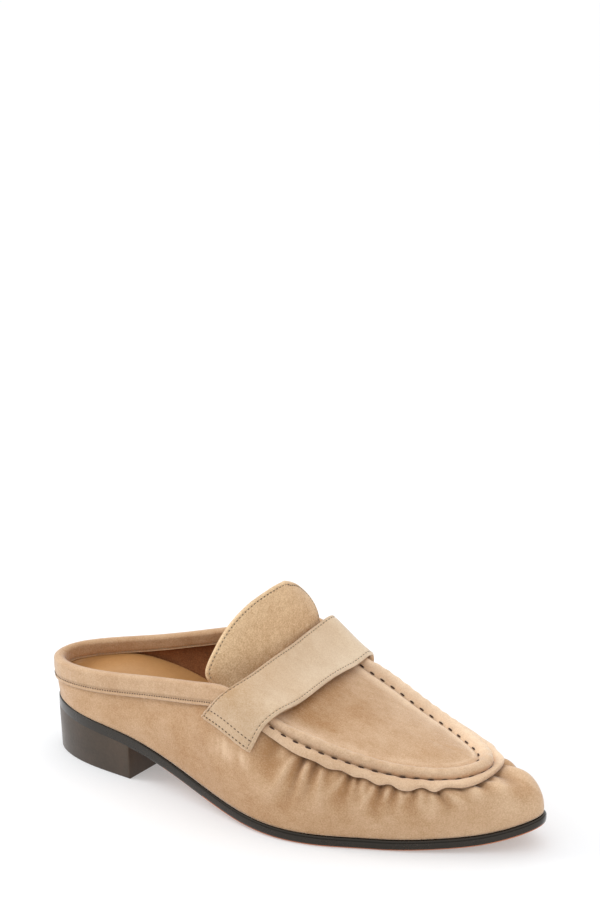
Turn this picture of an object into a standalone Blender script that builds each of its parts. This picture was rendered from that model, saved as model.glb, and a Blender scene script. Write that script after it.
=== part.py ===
"""Loafer mule for the right foot: a low closed back, a moccasin front with a rolled
bead, a plain strap, a standing tongue and a low block heel on a thin sole.

Metres, +Z up, +X towards the toe, -Y is the outer side of the foot. Every shape
follows from the sizes below and from short tables of shares of those sizes.
"""
import bpy
import bmesh
import numpy as np
from math import cos, pi, radians, sin, tan

# Driving sizes
LENGTH = 0.270
BALL_WIDTH = 0.093
HEEL_HEIGHT = 0.0235
TOE_SPRING = 0.0117
SOLE_THICKNESS = 0.0053
WALL_HEIGHT = 0.060
UPPER_WALL = 0.0018
GAP = 0.0003
FEATHER_INSET = 0.0014
HEEL_LENGTH = 0.0624
BREAST_TURN = radians(6.0)
HEEL_TAPER = 0.0009
INSOLE_THICKNESS = 0.0036
HEEL_PAD = 0.0129
BINDING_LEATHER = 0.0012
BINDING_DEPTH = 0.0088
BINDING_INSIDE = 0.0062
BINDING_ROLL = 0.0022
BINDING_ENDS = (0.470, 0.498)
APRON_LEATHER = 0.0016
FLANGE_WIDTH = 0.0055
BEAD_HEIGHT = 0.0043
BEAD_WIDTH = 0.0056
STRAP_THICKNESS = 0.0024
STRAP_SLANT = 0.0036
STRAP_BOW = 0.0024
TONGUE_LEATHER = 0.0022

# Faceting
AROUND = 100
UP = 9
AROUND_SOLE = 88
AROUND_INSOLE = 56
AROUND_APRON = 54
ALONG_STRAP = 33
ALONG_BINDING = 50

# Rise of the footbed over the sole, past the thickness of the insole
# along, share of HEEL_PAD
FOOTBED = (
    (0.000, 0.56),
    (0.033, 0.67),
    (0.070, 0.83),
    (0.110, 0.97),
    (0.160, 0.92),
    (0.220, 0.77),
    (0.300, 0.54),
    (0.370, 0.37),
    (0.450, 0.21),
    (0.550, 0.08),
    (0.650, 0.01),
    (0.750, 0.00),
    (1.000, 0.00),
)

# Half widths of the sole either side of the line from heel to toe tip
# along, lateral, medial (shares of LENGTH and BALL_WIDTH)
OUTLINE = (
    (0.0000, 0.000, 0.000),
    (0.0148, 0.129, 0.132),
    (0.0444, 0.206, 0.209),
    (0.1111, 0.288, 0.280),
    (0.2296, 0.345, 0.302),
    (0.3519, 0.418, 0.304),
    (0.4630, 0.508, 0.340),
    (0.5556, 0.565, 0.395),
    (0.6481, 0.542, 0.428),
    (0.7222, 0.467, 0.412),
    (0.7963, 0.387, 0.360),
    (0.8704, 0.287, 0.278),
    (0.9333, 0.190, 0.196),
    (0.9741, 0.118, 0.127),
    (0.9944, 0.056, 0.061),
    (1.0000, 0.000, 0.000),
)

# Underside of the sole over the floor
# along, share of HEEL_HEIGHT, share of TOE_SPRING
PROFILE = (
    (0.000, 1.000, 0.000),
    (0.111, 0.883, 0.000),
    (0.230, 0.745, 0.000),
    (0.370, 0.370, 0.000),
    (0.481, 0.092, 0.000),
    (0.574, 0.010, 0.000),
    (0.648, 0.000, 0.000),
    (0.759, 0.000, 0.000),
    (0.852, 0.000, 0.140),
    (0.926, 0.000, 0.400),
    (1.000, 0.000, 1.000),
)

# Edge of the sole from its underside to its top
# inset and height (shares of SOLE_THICKNESS)
SOLE_EDGE = (
    (0.34, 0.00),
    (0.12, 0.08),
    (0.00, 0.36),
    (0.00, 0.70),
    (0.10, 0.92),
    (0.26, 1.00),
)

# Top edge of the upper: the collar behind, the apron seam in front
# along, top along, lateral, medial (shares of LENGTH and BALL_WIDTH),
# lateral rise, medial rise over the sole (shares of WALL_HEIGHT), lean (degrees),
# swell (share of BALL_WIDTH), fullness (share of the rise)
TOPLINE = (
    (0.0000, -0.004, 0.000, 0.000, 0.303, 0.303, -4.0, 0.010, 0.40),
    (0.0444, 0.041, 0.190, 0.192, 0.340, 0.340, 2.0, 0.012, 0.40),
    (0.1111, 0.111, 0.267, 0.274, 0.402, 0.408, 4.0, 0.012, 0.40),
    (0.2222, 0.222, 0.320, 0.348, 0.522, 0.555, 6.0, 0.020, 0.40),
    (0.3333, 0.333, 0.385, 0.415, 0.725, 0.782, 8.0, 0.035, 0.40),
    (0.4074, 0.404, 0.436, 0.462, 0.873, 0.952, 12.0, 0.040, 0.40),
    (0.4630, 0.457, 0.472, 0.484, 0.950, 1.060, 18.0, 0.035, 0.40),
    (0.5556, 0.552, 0.492, 0.446, 0.810, 0.915, 32.0, 0.022, 0.40),
    (0.6481, 0.641, 0.468, 0.410, 0.670, 0.750, 42.0, 0.018, 0.42),
    (0.7222, 0.709, 0.397, 0.362, 0.560, 0.628, 54.0, 0.018, 0.46),
    (0.7963, 0.778, 0.321, 0.300, 0.485, 0.535, 68.0, 0.018, 0.54),
    (0.8704, 0.837, 0.230, 0.211, 0.435, 0.466, 80.0, 0.018, 0.72),
    (0.9333, 0.872, 0.146, 0.131, 0.420, 0.430, 88.0, 0.018, 0.88),
    (0.9741, 0.887, 0.074, 0.068, 0.415, 0.417, 90.0, 0.018, 0.96),
    (1.0000, 0.893, 0.000, 0.000, 0.413, 0.413, 90.0, 0.018, 0.98),
)

# Ridge of the instep and the apron
# along, off the axis (share of BALL_WIDTH), rise over the sole (share of WALL_HEIGHT)
RIDGE = (
    (0.440, 0.090, 1.105),
    (0.500, 0.080, 0.985),
    (0.580, 0.055, 0.838),
    (0.660, 0.030, 0.738),
    (0.740, 0.015, 0.642),
    (0.815, 0.005, 0.560),
    (0.880, 0.000, 0.480),
)

# Where each station of the seam looks on the ridge
# along, ridge along
SPINE = (
    (0.200, 0.200),
    (0.400, 0.400),
    (0.560, 0.556),
    (0.650, 0.640),
    (0.730, 0.710),
    (0.810, 0.765),
    (0.880, 0.800),
    (0.940, 0.815),
    (1.000, 0.822),
)

# Apron across its edge: the flange on the wall and the bead on the deck
# kind, distance (share of FLANGE_WIDTH or BEAD_WIDTH), top lift and base lift (metres)
APRON_EDGE = (
    ("flange", 1.00, 0.0014, 0.0004),
    ("flange", 0.86, 0.0019, 0.0005),
    ("flange", 0.45, 0.0020, 0.0005),
    ("flange", 0.08, 0.0013, 0.0006),
    ("bead", 0.08, 0.50, 0.0006),
    ("bead", 0.26, 0.90, 0.0005),
    ("bead", 0.50, 1.00, -0.0003),
    ("bead", 0.76, 0.80, -0.0013),
    ("bead", 0.93, 0.34, -0.0016),
    ("bead", 1.12, 0.03, -0.0016),
)
APRON_INNER = (0.16, 0.42, 0.70, 0.93)
APRON_REAR = 0.520

# Strap from its outer end up to the ridge, and the same down the inner side further forward
# kind, distance (metres or share to the ridge), share of the end's slant and bow,
# rear along, front along, rear lift, front lift, face (degrees),
# inner shift of the rear and of the front (shares of LENGTH), inner raise of the rear
STRAP = (
    ("wall", 0.0142, 1.00, 0.412, 0.529, 0.0005, 0.0005, 12.0, 0.040, 0.040, 0.0000),
    ("wall", 0.0090, 0.35, 0.434, 0.540, 0.0018, 0.0020, 18.0, 0.036, 0.038, 0.0000),
    ("wall", 0.0030, 0.00, 0.459, 0.550, 0.0034, 0.0037, 38.0, 0.029, 0.034, 0.0010),
    ("deck", 0.0900, 0.00, 0.475, 0.560, 0.0033, 0.0041, 70.0, 0.019, 0.028, 0.0028),
    ("deck", 0.3200, 0.00, 0.479, 0.569, 0.0031, 0.0031, 82.0, 0.009, 0.017, 0.0024),
    ("deck", 0.6500, 0.00, 0.480, 0.575, 0.0034, 0.0028, 88.0, 0.003, 0.006, 0.0014),
    ("deck", 1.0000, 0.00, 0.480, 0.577, 0.0038, 0.0027, 90.0, 0.000, 0.000, 0.0000),
)

# Tongue from under the apron up to its top
# along, off the axis (share of BALL_WIDTH), rise (share of WALL_HEIGHT), outer half width,
# inner half width (shares of BALL_WIDTH), outer sweep, inner sweep, droop of its edges (metres)
TONGUE = (
    (0.540, 0.010, 0.843, 0.330, 0.330, 0.0020, 0.0020, 0.0060),
    (0.505, 0.010, 0.910, 0.362, 0.362, 0.0050, 0.0040, 0.0060),
    (0.483, 0.000, 1.010, 0.390, 0.390, 0.0100, 0.0045, 0.0050),
    (0.473, 0.009, 1.118, 0.408, 0.406, 0.0120, 0.0035, 0.0040),
    (0.469, 0.064, 1.252, 0.403, 0.374, 0.0105, 0.0040, 0.0040),
    (0.466, 0.104, 1.390, 0.356, 0.312, 0.0085, 0.0055, 0.0034),
    (0.464, 0.124, 1.520, 0.268, 0.208, 0.0055, 0.0050, 0.0030),
    (0.463, 0.120, 1.598, 0.160, 0.118, 0.0020, 0.0020, 0.0022),
    (0.463, 0.118, 1.618, 0.075, 0.055, 0.0005, 0.0005, 0.0010),
)
TONGUE_TURN = radians(11.0)


def spline(knots, values, flat_ends=False):
    """Cubic through the knots, with straight or level ends."""
    knots = np.asarray(knots, float)
    values = np.asarray(values, float)
    count = len(knots)
    steps = np.diff(knots)
    slopes = np.diff(values) / steps
    rows = np.zeros((count, count))
    right = np.zeros(count)
    for k in range(1, count - 1):
        rows[k, k - 1] = steps[k - 1]
        rows[k, k] = 2.0 * (steps[k - 1] + steps[k])
        rows[k, k + 1] = steps[k]
        right[k] = 6.0 * (slopes[k] - slopes[k - 1])
    rows[0, 0] = 2.0 * steps[0]
    rows[-1, -1] = 2.0 * steps[-1]
    if flat_ends:
        rows[0, 1] = steps[0]
        rows[-1, -2] = steps[-1]
        right[0] = 6.0 * slopes[0]
        right[-1] = -6.0 * slopes[-1]
    bends = np.linalg.solve(rows, right)

    def value(at):
        at = np.clip(np.asarray(at, float), knots[0], knots[-1])
        k = np.clip(np.searchsorted(knots, at, side="right") - 1, 0, count - 2)
        step = steps[k]
        a = (knots[k + 1] - at) / step
        b = (at - knots[k]) / step
        curve = ((a ** 3 - a) * bends[k] + (b ** 3 - b) * bends[k + 1]) * step ** 2 / 6.0
        return a * values[k] + b * values[k + 1] + curve

    return value


def turn(along):
    """Station angle of a share of the length: nought at the heel, pi at the toe tip."""
    return np.arccos(np.clip(1.0 - 2.0 * np.asarray(along, float), -1.0, 1.0))


def by_turn(table, column, flat_ends):
    return spline([float(turn(row[0])) for row in table], [row[column] for row in table], flat_ends)


def by_along(table, column):
    return spline([row[0] for row in table], [row[column] for row in table])


lateral_half = by_turn(OUTLINE, 1, False)
medial_half = by_turn(OUTLINE, 2, False)
heel_part = by_along(PROFILE, 1)
spring_part = by_along(PROFILE, 2)
top_along = by_turn(TOPLINE, 1, True)
top_lateral = by_turn(TOPLINE, 2, False)
top_medial = by_turn(TOPLINE, 3, False)
rise_lateral = by_turn(TOPLINE, 4, True)
rise_medial = by_turn(TOPLINE, 5, True)
lean_angle = by_turn(TOPLINE, 6, True)
swell_share = by_turn(TOPLINE, 7, True)
fullness = by_turn(TOPLINE, 8, True)
ridge_off = by_along(RIDGE, 1)
ridge_rise = by_along(RIDGE, 2)
spine_along = by_turn(SPINE, 1, True)
pad_share = by_along(FOOTBED, 1)


def fold(loop):
    """Station angle and side (-1 outer, +1 inner) of positions round the shoe."""
    loop = np.mod(np.asarray(loop, float), 2.0 * pi)
    outer = loop <= pi
    return np.where(outer, loop, 2.0 * pi - loop), np.where(outer, -1.0, 1.0)


def place(x, y, z):
    return np.stack(np.broadcast_arrays(x, y, z), axis=-1).astype(float)


def underside(x):
    along = np.clip(np.asarray(x, float) / LENGTH, 0.0, 1.0)
    return np.maximum(heel_part(along), 0.0) * HEEL_HEIGHT + np.maximum(spring_part(along), 0.0) * TOE_SPRING


def sole_top(x):
    return underside(x) + SOLE_THICKNESS


def outline(loop):
    theta, side = fold(loop)
    half = np.where(side < 0.0, lateral_half(theta), medial_half(theta))
    return place((1.0 - np.cos(theta)) / 2.0 * LENGTH, side * half * BALL_WIDTH, 0.0)


def outward(curve, loop):
    """Unit plan normal of a closed curve that runs heel, outer side, toe, inner side."""
    ahead = curve(np.asarray(loop) + 0.01) - curve(np.asarray(loop) - 0.01)
    normal = place(ahead[..., 1], -ahead[..., 0], 0.0)
    return normal / np.linalg.norm(normal, axis=-1, keepdims=True)


def inset_outline(loop, inset):
    return outline(loop) - outward(outline, loop) * np.asarray(inset)[..., None]


def feather(loop):
    """Where the upper meets the sole."""
    theta, side = fold(loop)
    inset = FEATHER_INSET * (0.45 + 0.55 * (1.0 - np.cos(theta)) / 2.0)
    line = inset_outline(loop, inset)
    line[..., 2] = sole_top(line[..., 0]) + GAP
    return line


def topline(loop):
    theta, side = fold(loop)
    x = top_along(theta) * LENGTH
    half = np.where(side < 0.0, top_lateral(theta), top_medial(theta))
    rise = np.where(side < 0.0, rise_lateral(theta), rise_medial(theta))
    return place(x, side * half * BALL_WIDTH, sole_top(x) + rise * WALL_HEIGHT)


def wall(loop, up):
    """Outer face of the upper, up from the feather line to its top edge."""
    loop = np.asarray(loop, float)
    up = np.asarray(up, float)[..., None]
    theta, side = fold(loop)
    low = feather(loop)
    high = topline(loop)
    rise = (high - low)[..., 2:3]
    reach = np.linalg.norm(high - low, axis=-1, keepdims=True)
    lean = np.radians(lean_angle(theta))[..., None]
    vertical = place(0.0 * loop, 0.0, 1.0)
    swell = outward(feather, loop) * (swell_share(theta) * BALL_WIDTH)[..., None]
    first = low + vertical * fullness(theta)[..., None] * rise + swell
    second = high - (vertical * np.cos(lean) - outward(topline, loop) * np.sin(lean)) * 0.40 * reach
    rest = 1.0 - up
    return rest ** 3 * low + 3.0 * rest ** 2 * up * first + 3.0 * rest * up ** 2 * second + up ** 3 * high


def wall_normal(loop, up):
    loop = np.asarray(loop, float)
    up = np.asarray(up, float)
    along = wall(loop + 0.01, up) - wall(loop - 0.01, up)
    rising = wall(loop, up + 0.01) - wall(loop, up - 0.01)
    normal = np.cross(along, rising)
    return normal / np.linalg.norm(normal, axis=-1, keepdims=True)


def inside_wall(loop, x, height, clear):
    """Points a height over the sole and a distance in from the inner face of the upper."""
    shares = np.linspace(0.0, 1.0, 61)
    lines = wall(loop[:, None] + 0.0 * shares[None, :], 0.0 * loop[:, None] + shares[None, :])
    level = sole_top(x) + height
    up = np.array([np.interp(level[k], lines[k, :, 2], shares) for k in range(len(loop))])
    points = wall(loop, up) - wall_normal(loop, up) * (UPPER_WALL + clear)
    points[:, 2] = level
    return points


def wall_drop(loop, drop):
    """Share up the wall that lies a distance below its top edge, along the wall."""
    loop = np.atleast_1d(np.asarray(loop, float))
    drop = np.broadcast_to(np.asarray(drop, float), loop.shape)
    shares = np.linspace(1.0, 0.0, 61)
    points = wall(loop[:, None] + 0.0 * shares[None, :], 0.0 * loop[:, None] + shares[None, :])
    lengths = np.cumsum(np.linalg.norm(np.diff(points, axis=1), axis=-1), axis=1)
    lengths = np.concatenate([np.zeros((len(loop), 1)), lengths], axis=1)
    return np.array([np.interp(drop[k], lengths[k], shares) for k in range(len(loop))])


def on_wall(loop, drop, lift):
    """Points a distance below the top edge and a height off the wall."""
    loop = np.atleast_1d(np.asarray(loop, float))
    up = wall_drop(loop, drop)
    lift = np.broadcast_to(np.asarray(lift, float), loop.shape)
    return wall(loop, up) + wall_normal(loop, up) * lift[:, None]


def ridge(along):
    x = np.asarray(along, float) * LENGTH
    return place(x, ridge_off(along) * BALL_WIDTH, sole_top(x) + ridge_rise(along) * WALL_HEIGHT)


def deck(loop, inward):
    """Face of the instep from the top edge of the upper (0) to the ridge (1)."""
    loop = np.asarray(loop, float)
    inward = np.asarray(inward, float)[..., None]
    theta, side = fold(loop)
    edge = topline(loop)
    top = ridge(spine_along(theta))
    plan = edge + (top - edge) * inward
    height = edge[..., 2:3] + (top - edge)[..., 2:3] * (1.0 - (1.0 - inward) ** 2)
    return np.concatenate([plan[..., :2], height], axis=-1)


def deck_normal(loop, inward):
    loop = np.asarray(loop, float)
    inward = np.asarray(inward, float)
    along = deck(loop + 0.01, inward) - deck(loop - 0.01, inward)
    rising = deck(loop, inward + 0.01) - deck(loop, inward - 0.01)
    normal = np.cross(along, rising)
    return normal / np.linalg.norm(normal, axis=-1, keepdims=True)


def on_deck(loop, distance, lift):
    """Points a distance in from the seam and a height off the deck."""
    loop = np.atleast_1d(np.asarray(loop, float))
    theta, side = fold(loop)
    span = np.linalg.norm((ridge(spine_along(theta)) - topline(loop))[..., :2], axis=-1)
    inward = distance / span
    lift = np.broadcast_to(np.asarray(lift, float), loop.shape)
    return deck(loop, inward) + deck_normal(loop, inward) * lift[:, None], inward


def material(name, color, roughness, sheen=0.0):
    made = bpy.data.materials.new(name)
    made.use_nodes = True
    shader = made.node_tree.nodes["Principled BSDF"]
    shader.inputs["Base Color"].default_value = (*color, 1.0)
    shader.inputs["Roughness"].default_value = roughness
    shader.inputs["Sheen Weight"].default_value = sheen
    made.diffuse_color = (*color, 1.0)
    return made


def solid(name, vertices, faces, surface, collection):
    """Closed mesh from points and faces, with its normals turned outwards."""
    mesh = bpy.data.meshes.new(name)
    build = bmesh.new()
    points = [build.verts.new(tuple(float(c) for c in vertex)) for vertex in vertices]
    for face in faces:
        corners = []
        for index in face:
            if points[index] not in corners:
                corners.append(points[index])
        if len(corners) > 2:
            build.faces.new(corners)
    bmesh.ops.recalc_face_normals(build, faces=build.faces)
    build.to_mesh(mesh)
    build.free()
    mesh.materials.append(surface)
    made = bpy.data.objects.new(name, mesh)
    collection.objects.link(made)
    return made


def stacked_loops(loops, pairs):
    """Faces of closed loops joined one to the next, capped by strips across the pairs."""
    count = len(loops[0])
    vertices = np.concatenate(loops)
    faces = []
    for level in range(len(loops) - 1):
        for k in range(count):
            after = (k + 1) % count
            low = level * count
            high = low + count
            faces.append((low + k, low + after, high + after, high + k))
    for level in (0, len(loops) - 1):
        base = level * count
        for (a, b), (c, d) in zip(pairs[:-1], pairs[1:]):
            faces.append((base + a, base + c, base + d, base + b))
    return vertices, faces


def between_grids(top, base, zipped):
    """Faces of a sheet with a top grid and a base grid, rows by columns.

    A zipped sheet has its last row folded on itself and joined across.
    """
    rows, columns = top.shape[:2]
    size = rows * columns
    vertices = np.concatenate([top.reshape(-1, 3), base.reshape(-1, 3)])
    faces = []

    def at(level, row, column):
        return level * size + row * columns + column

    for level in (0, 1):
        for row in range(rows - 1):
            for k in range(columns - 1):
                near = (at(level, row, k), at(level, row, k + 1))
                far = (at(level, row + 1, k + 1), at(level, row + 1, k))
                faces.append(near + far)
        if zipped:
            for k in range(columns // 2):
                mate = columns - 1 - k
                if k + 1 <= mate - 1:
                    near = (at(level, rows - 1, k), at(level, rows - 1, k + 1))
                    far = (at(level, rows - 1, mate - 1), at(level, rows - 1, mate))
                    faces.append(near + far)
    rim = [(0, k) for k in range(columns)]
    rim += [(row, columns - 1) for row in range(1, rows)]
    if not zipped:
        rim += [(rows - 1, k) for k in range(columns - 2, -1, -1)]
        rim += [(row, 0) for row in range(rows - 2, 0, -1)]
    else:
        rim += [(row, 0) for row in range(rows - 1, 0, -1)]
    for (r, c), (s, d) in zip(rim, rim[1:] + rim[:1]):
        faces.append((at(0, r, c), at(0, s, d), at(1, s, d), at(1, r, c)))
    return vertices, faces


def even_loop(count):
    """Positions round the shoe, heel first, with equal stations on both sides."""
    return np.arange(count) * 2.0 * pi / count


def loop_pairs(count):
    return [(k, (count - k) % count) for k in range(count // 2 + 1)]


def build_outsole(surface, collection):
    loop = even_loop(AROUND_SOLE)
    theta, side = fold(loop)
    rounding = 0.10 + 0.90 * np.clip((1.0 - np.cos(theta)) / 2.0 * 2.2 - 0.50, 0.0, 1.0)
    loops = []
    for inset, height in SOLE_EDGE:
        line = inset_outline(loop, inset * SOLE_THICKNESS * rounding)
        line[:, 2] = underside(line[:, 0]) + height * SOLE_THICKNESS
        loops.append(line)
    return solid("outsole", *stacked_loops(loops, loop_pairs(AROUND_SOLE)), surface, collection)


def heel_plan(count, inset):
    """Outline of the heel block from its breast round the back, inset by a distance."""
    quarter = np.linspace(0.0, 1.0, count)
    points = []
    for side in (-1.0, 1.0):
        half = lateral_half if side < 0.0 else medial_half
        offset = tan(BREAST_TURN) * side * float(half(turn(HEEL_LENGTH / LENGTH))) * BALL_WIDTH
        breast = (HEEL_LENGTH + offset) / LENGTH
        share = turn(breast) * quarter
        loop = share if side < 0.0 else 2.0 * pi - share
        line = inset_outline(loop, inset + 0.0 * loop)
        line[:, 0] = np.minimum(line[:, 0], line[-1, 0])
        points.append(line)
    outer, inner = points
    return np.concatenate([outer[::-1], inner[1:]])


def build_heel(surface, collection):
    count = 22
    levels = ((HEEL_TAPER + 0.0005, 0.0), (HEEL_TAPER, 0.0006), (0.0, 1.0))
    loops = []
    for inset, height in levels:
        line = heel_plan(count, inset)
        if height < 0.5:
            line[:, 2] = height
        else:
            line[:, 2] = underside(line[:, 0]) - GAP
        loops.append(line)
    total = 2 * count - 1
    pairs = [(k, total - 1 - k) for k in range(count)]
    return solid("heel", *stacked_loops(loops, pairs), surface, collection)


def build_upper(surface, collection):
    loop = even_loop(AROUND)
    loops = [wall(loop, 0.0 * loop + level) for level in np.linspace(0.0, 1.0, UP)]
    vertices = np.concatenate(loops)
    faces = []
    for level in range(UP - 1):
        for k in range(AROUND):
            after = (k + 1) % AROUND
            low = level * AROUND
            high = low + AROUND
            faces.append((low + k, low + after, high + after, high + k))
    made = solid("upper", vertices, faces, surface, collection)
    thick = made.modifiers.new("wall", "SOLIDIFY")
    thick.thickness = UPPER_WALL
    thick.offset = -1.0
    thick.use_even_offset = True
    return made


def build_insole(surface, collection):
    loop = even_loop(AROUND_INSOLE)
    sole_edge = inset_outline(loop, FEATHER_INSET + UPPER_WALL + 0.0 * loop)
    x = sole_edge[:, 0]
    thick = INSOLE_THICKNESS + np.maximum(pad_share(x / LENGTH), 0.0) * HEEL_PAD
    loops = []
    for clear, share in ((4.5, 0.0), (3.0, 0.15), (3.0, 0.55), (3.0, 0.90), (6.0, 1.0)):
        loops.append(inside_wall(loop, x, GAP + share * thick, clear * GAP))
    return solid("insole", *stacked_loops(loops, loop_pairs(AROUND_INSOLE)), surface, collection)


def build_apron(surface, collection):
    rear = float(turn(APRON_REAR))
    loop = np.linspace(rear, 2.0 * pi - rear, AROUND_APRON)
    theta, side = fold(loop)
    press = np.clip(((1.0 - np.cos(theta)) / 2.0 - 0.56) / 0.06, 0.0, 1.0)
    height = BEAD_HEIGHT * (0.55 + 0.45 * press * press * (3.0 - 2.0 * press))
    top = []
    base = []
    inward = None
    for kind, distance, high, low in APRON_EDGE:
        if kind == "flange":
            top.append(on_wall(loop, distance * FLANGE_WIDTH, high))
            base.append(on_wall(loop, distance * FLANGE_WIDTH, low))
        else:
            line, inward = on_deck(loop, distance * BEAD_WIDTH, high * height)
            top.append(line)
            base.append(on_deck(loop, distance * BEAD_WIDTH, low)[0])
    for share in APRON_INNER:
        at = inward + (1.0 - inward) * share
        normal = deck_normal(loop, at)
        top.append(deck(loop, at))
        base.append(deck(loop, at) - normal * APRON_LEATHER)
    return solid("apron", *between_grids(np.array(top), np.array(base), True), surface, collection)


def run_of(points):
    """Distance along a line of points up to each of them."""
    steps = np.linalg.norm(np.diff(points, axis=0), axis=1)
    return np.concatenate([[0.0], np.cumsum(steps)])


def strap_points(across, lift):
    """Points of the table along the strap, at a share of its width."""
    ending = STRAP_SLANT * across + STRAP_BOW * 4.0 * across * (1.0 - across)
    points = []
    for side in (-1.0, 1.0):
        half = []
        for kind, distance, end, rear, front, rear_lift, front_lift, face, rear_in, front_in, raised in STRAP:
            if side > 0.0:
                rear += rear_in
                front += front_in
                rear_lift += raised
            height = rear_lift + (front_lift - rear_lift) * across + lift
            theta = float(turn(rear + (front - rear) * across))
            loop = theta if side < 0.0 else 2.0 * pi - theta
            if kind == "wall":
                point = on_wall(loop, distance + end * ending, 0.0)[0]
            else:
                point = deck(np.array([loop]), np.array([distance]))[0]
            angle = radians(face)
            way = np.array([0.25 * sin(angle), side * cos(angle), sin(angle)])
            half.append(point + way / np.linalg.norm(way) * height)
        points.append(half)
    outer, inner = points
    middle = (outer[-1] + inner[-1]) / 2.0
    return np.array(outer[:-1] + [middle] + inner[:-1][::-1])


def strap_line(across, lift):
    """Line along the strap from its outer to its inner end, at a share of its width."""
    run = run_of(strap_points(0.5, 0.0))
    points = strap_points(across, lift)
    at = np.linspace(0.0, run[-1], ALONG_STRAP)
    return np.stack([spline(run, points[:, k])(at) for k in range(3)], axis=1)


def build_strap(surface, collection):
    shares = (0.0, 0.02, 0.12, 0.30, 0.50, 0.70, 0.88, 0.98, 1.0)
    rounded = (0.30, 0.08, 0.0, 0.0, 0.0, 0.0, 0.0, 0.08, 0.30)
    top = []
    base = []
    for share, down in zip(shares, rounded):
        top.append(strap_line(share, STRAP_THICKNESS * (1.0 - down)))
        base.append(strap_line(share, 0.0))
    return solid("strap", *between_grids(np.array(top), np.array(base), False), surface, collection)


def build_binding(surface, collection):
    outer_end, inner_end = BINDING_ENDS
    loop = np.linspace(-float(turn(inner_end)), float(turn(outer_end)), ALONG_BINDING)
    clear = 1.7 * GAP
    outer = clear + BINDING_LEATHER
    inner = -UPPER_WALL - outer
    depth = BINDING_DEPTH
    roll = BINDING_ROLL
    middle = (outer + inner) / 2.0
    # share of the depth down from the top edge, distance off the outer face
    section = (
        (depth, outer * 0.75), (depth * 0.93, outer), (0.0006, outer),
        (-roll * 0.50, outer * 0.80 + middle * 0.20), (-roll * 0.88, outer * 0.45 + middle * 0.55),
        (-roll, middle), (-roll * 0.88, inner * 0.45 + middle * 0.55),
        (-roll * 0.50, inner * 0.80 + middle * 0.20), (0.0006, inner), (BINDING_INSIDE, inner),
        (BINDING_INSIDE, -UPPER_WALL - clear), (-clear, -UPPER_WALL - clear), (-clear, clear), (depth, clear),
    )
    edge = wall(loop, 1.0 + 0.0 * loop)
    rising = edge - wall(loop, 0.99 + 0.0 * loop)
    rising /= np.linalg.norm(rising, axis=1, keepdims=True)
    normal = wall_normal(loop, 0.99 + 0.0 * loop)
    lines = []
    for drop, off in section:
        if drop > 0.0:
            lines.append(on_wall(loop, drop, off))
        else:
            lines.append(edge - rising * drop + normal * off)
    grid = np.array(lines)
    count, columns = grid.shape[:2]
    vertices = grid.reshape(-1, 3)
    faces = []
    for row in range(count):
        after = (row + 1) % count
        for k in range(columns - 1):
            near = (row * columns + k, row * columns + k + 1)
            faces.append(near + (after * columns + k + 1, after * columns + k))
    for k in (0, columns - 1):
        half = [(13, 0, 1), (13, 1, 2), (13, 2, 12), (12, 2, 3), (12, 3, 4), (12, 4, 5), (12, 5, 11)]
        half += [(11, 5, 6), (11, 6, 7), (11, 7, 8), (11, 8, 10), (10, 8, 9)]
        for face in half:
            faces.append(tuple(row * columns + k for row in face))
    return solid("collar_binding", vertices, faces, surface, collection)


def build_tongue(surface, collection):
    rows = np.array(TONGUE)
    count = 15
    steps = np.linspace(0.0, len(rows) - 1.0, count)
    places = [spline(np.arange(len(rows)), rows[:, k])(steps) for k in range(8)]
    across = np.sin(np.linspace(-pi / 2.0, pi / 2.0, 15))
    bend = np.abs(across) ** 2.2
    grid = []
    for along, off, rise, outer_half, inner_half, outer_sweep, inner_sweep, droop in zip(*places):
        width = np.where(across < 0.0, outer_half, inner_half) * BALL_WIDTH * across
        sweep = np.where(across < 0.0, outer_sweep, inner_sweep)
        line = place(along * LENGTH - sweep * bend + tan(TONGUE_TURN) * width,
                     off * BALL_WIDTH + width,
                     sole_top(0.5 * LENGTH) + rise * WALL_HEIGHT - droop * bend)
        grid.append(line)
    front = np.array(grid)
    normal = np.cross(np.gradient(front, axis=0), np.gradient(front, axis=1))
    normal /= np.linalg.norm(normal, axis=-1, keepdims=True)
    if normal[0, 7, 2] < 0.0:
        normal = -normal
    # Near the narrow tip the normals of the full width are kept
    steady = np.minimum(np.arange(count), count - 5)
    base = front - normal[steady] * TONGUE_LEATHER
    return solid("tongue", *between_grids(front, base, False), surface, collection)


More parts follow.
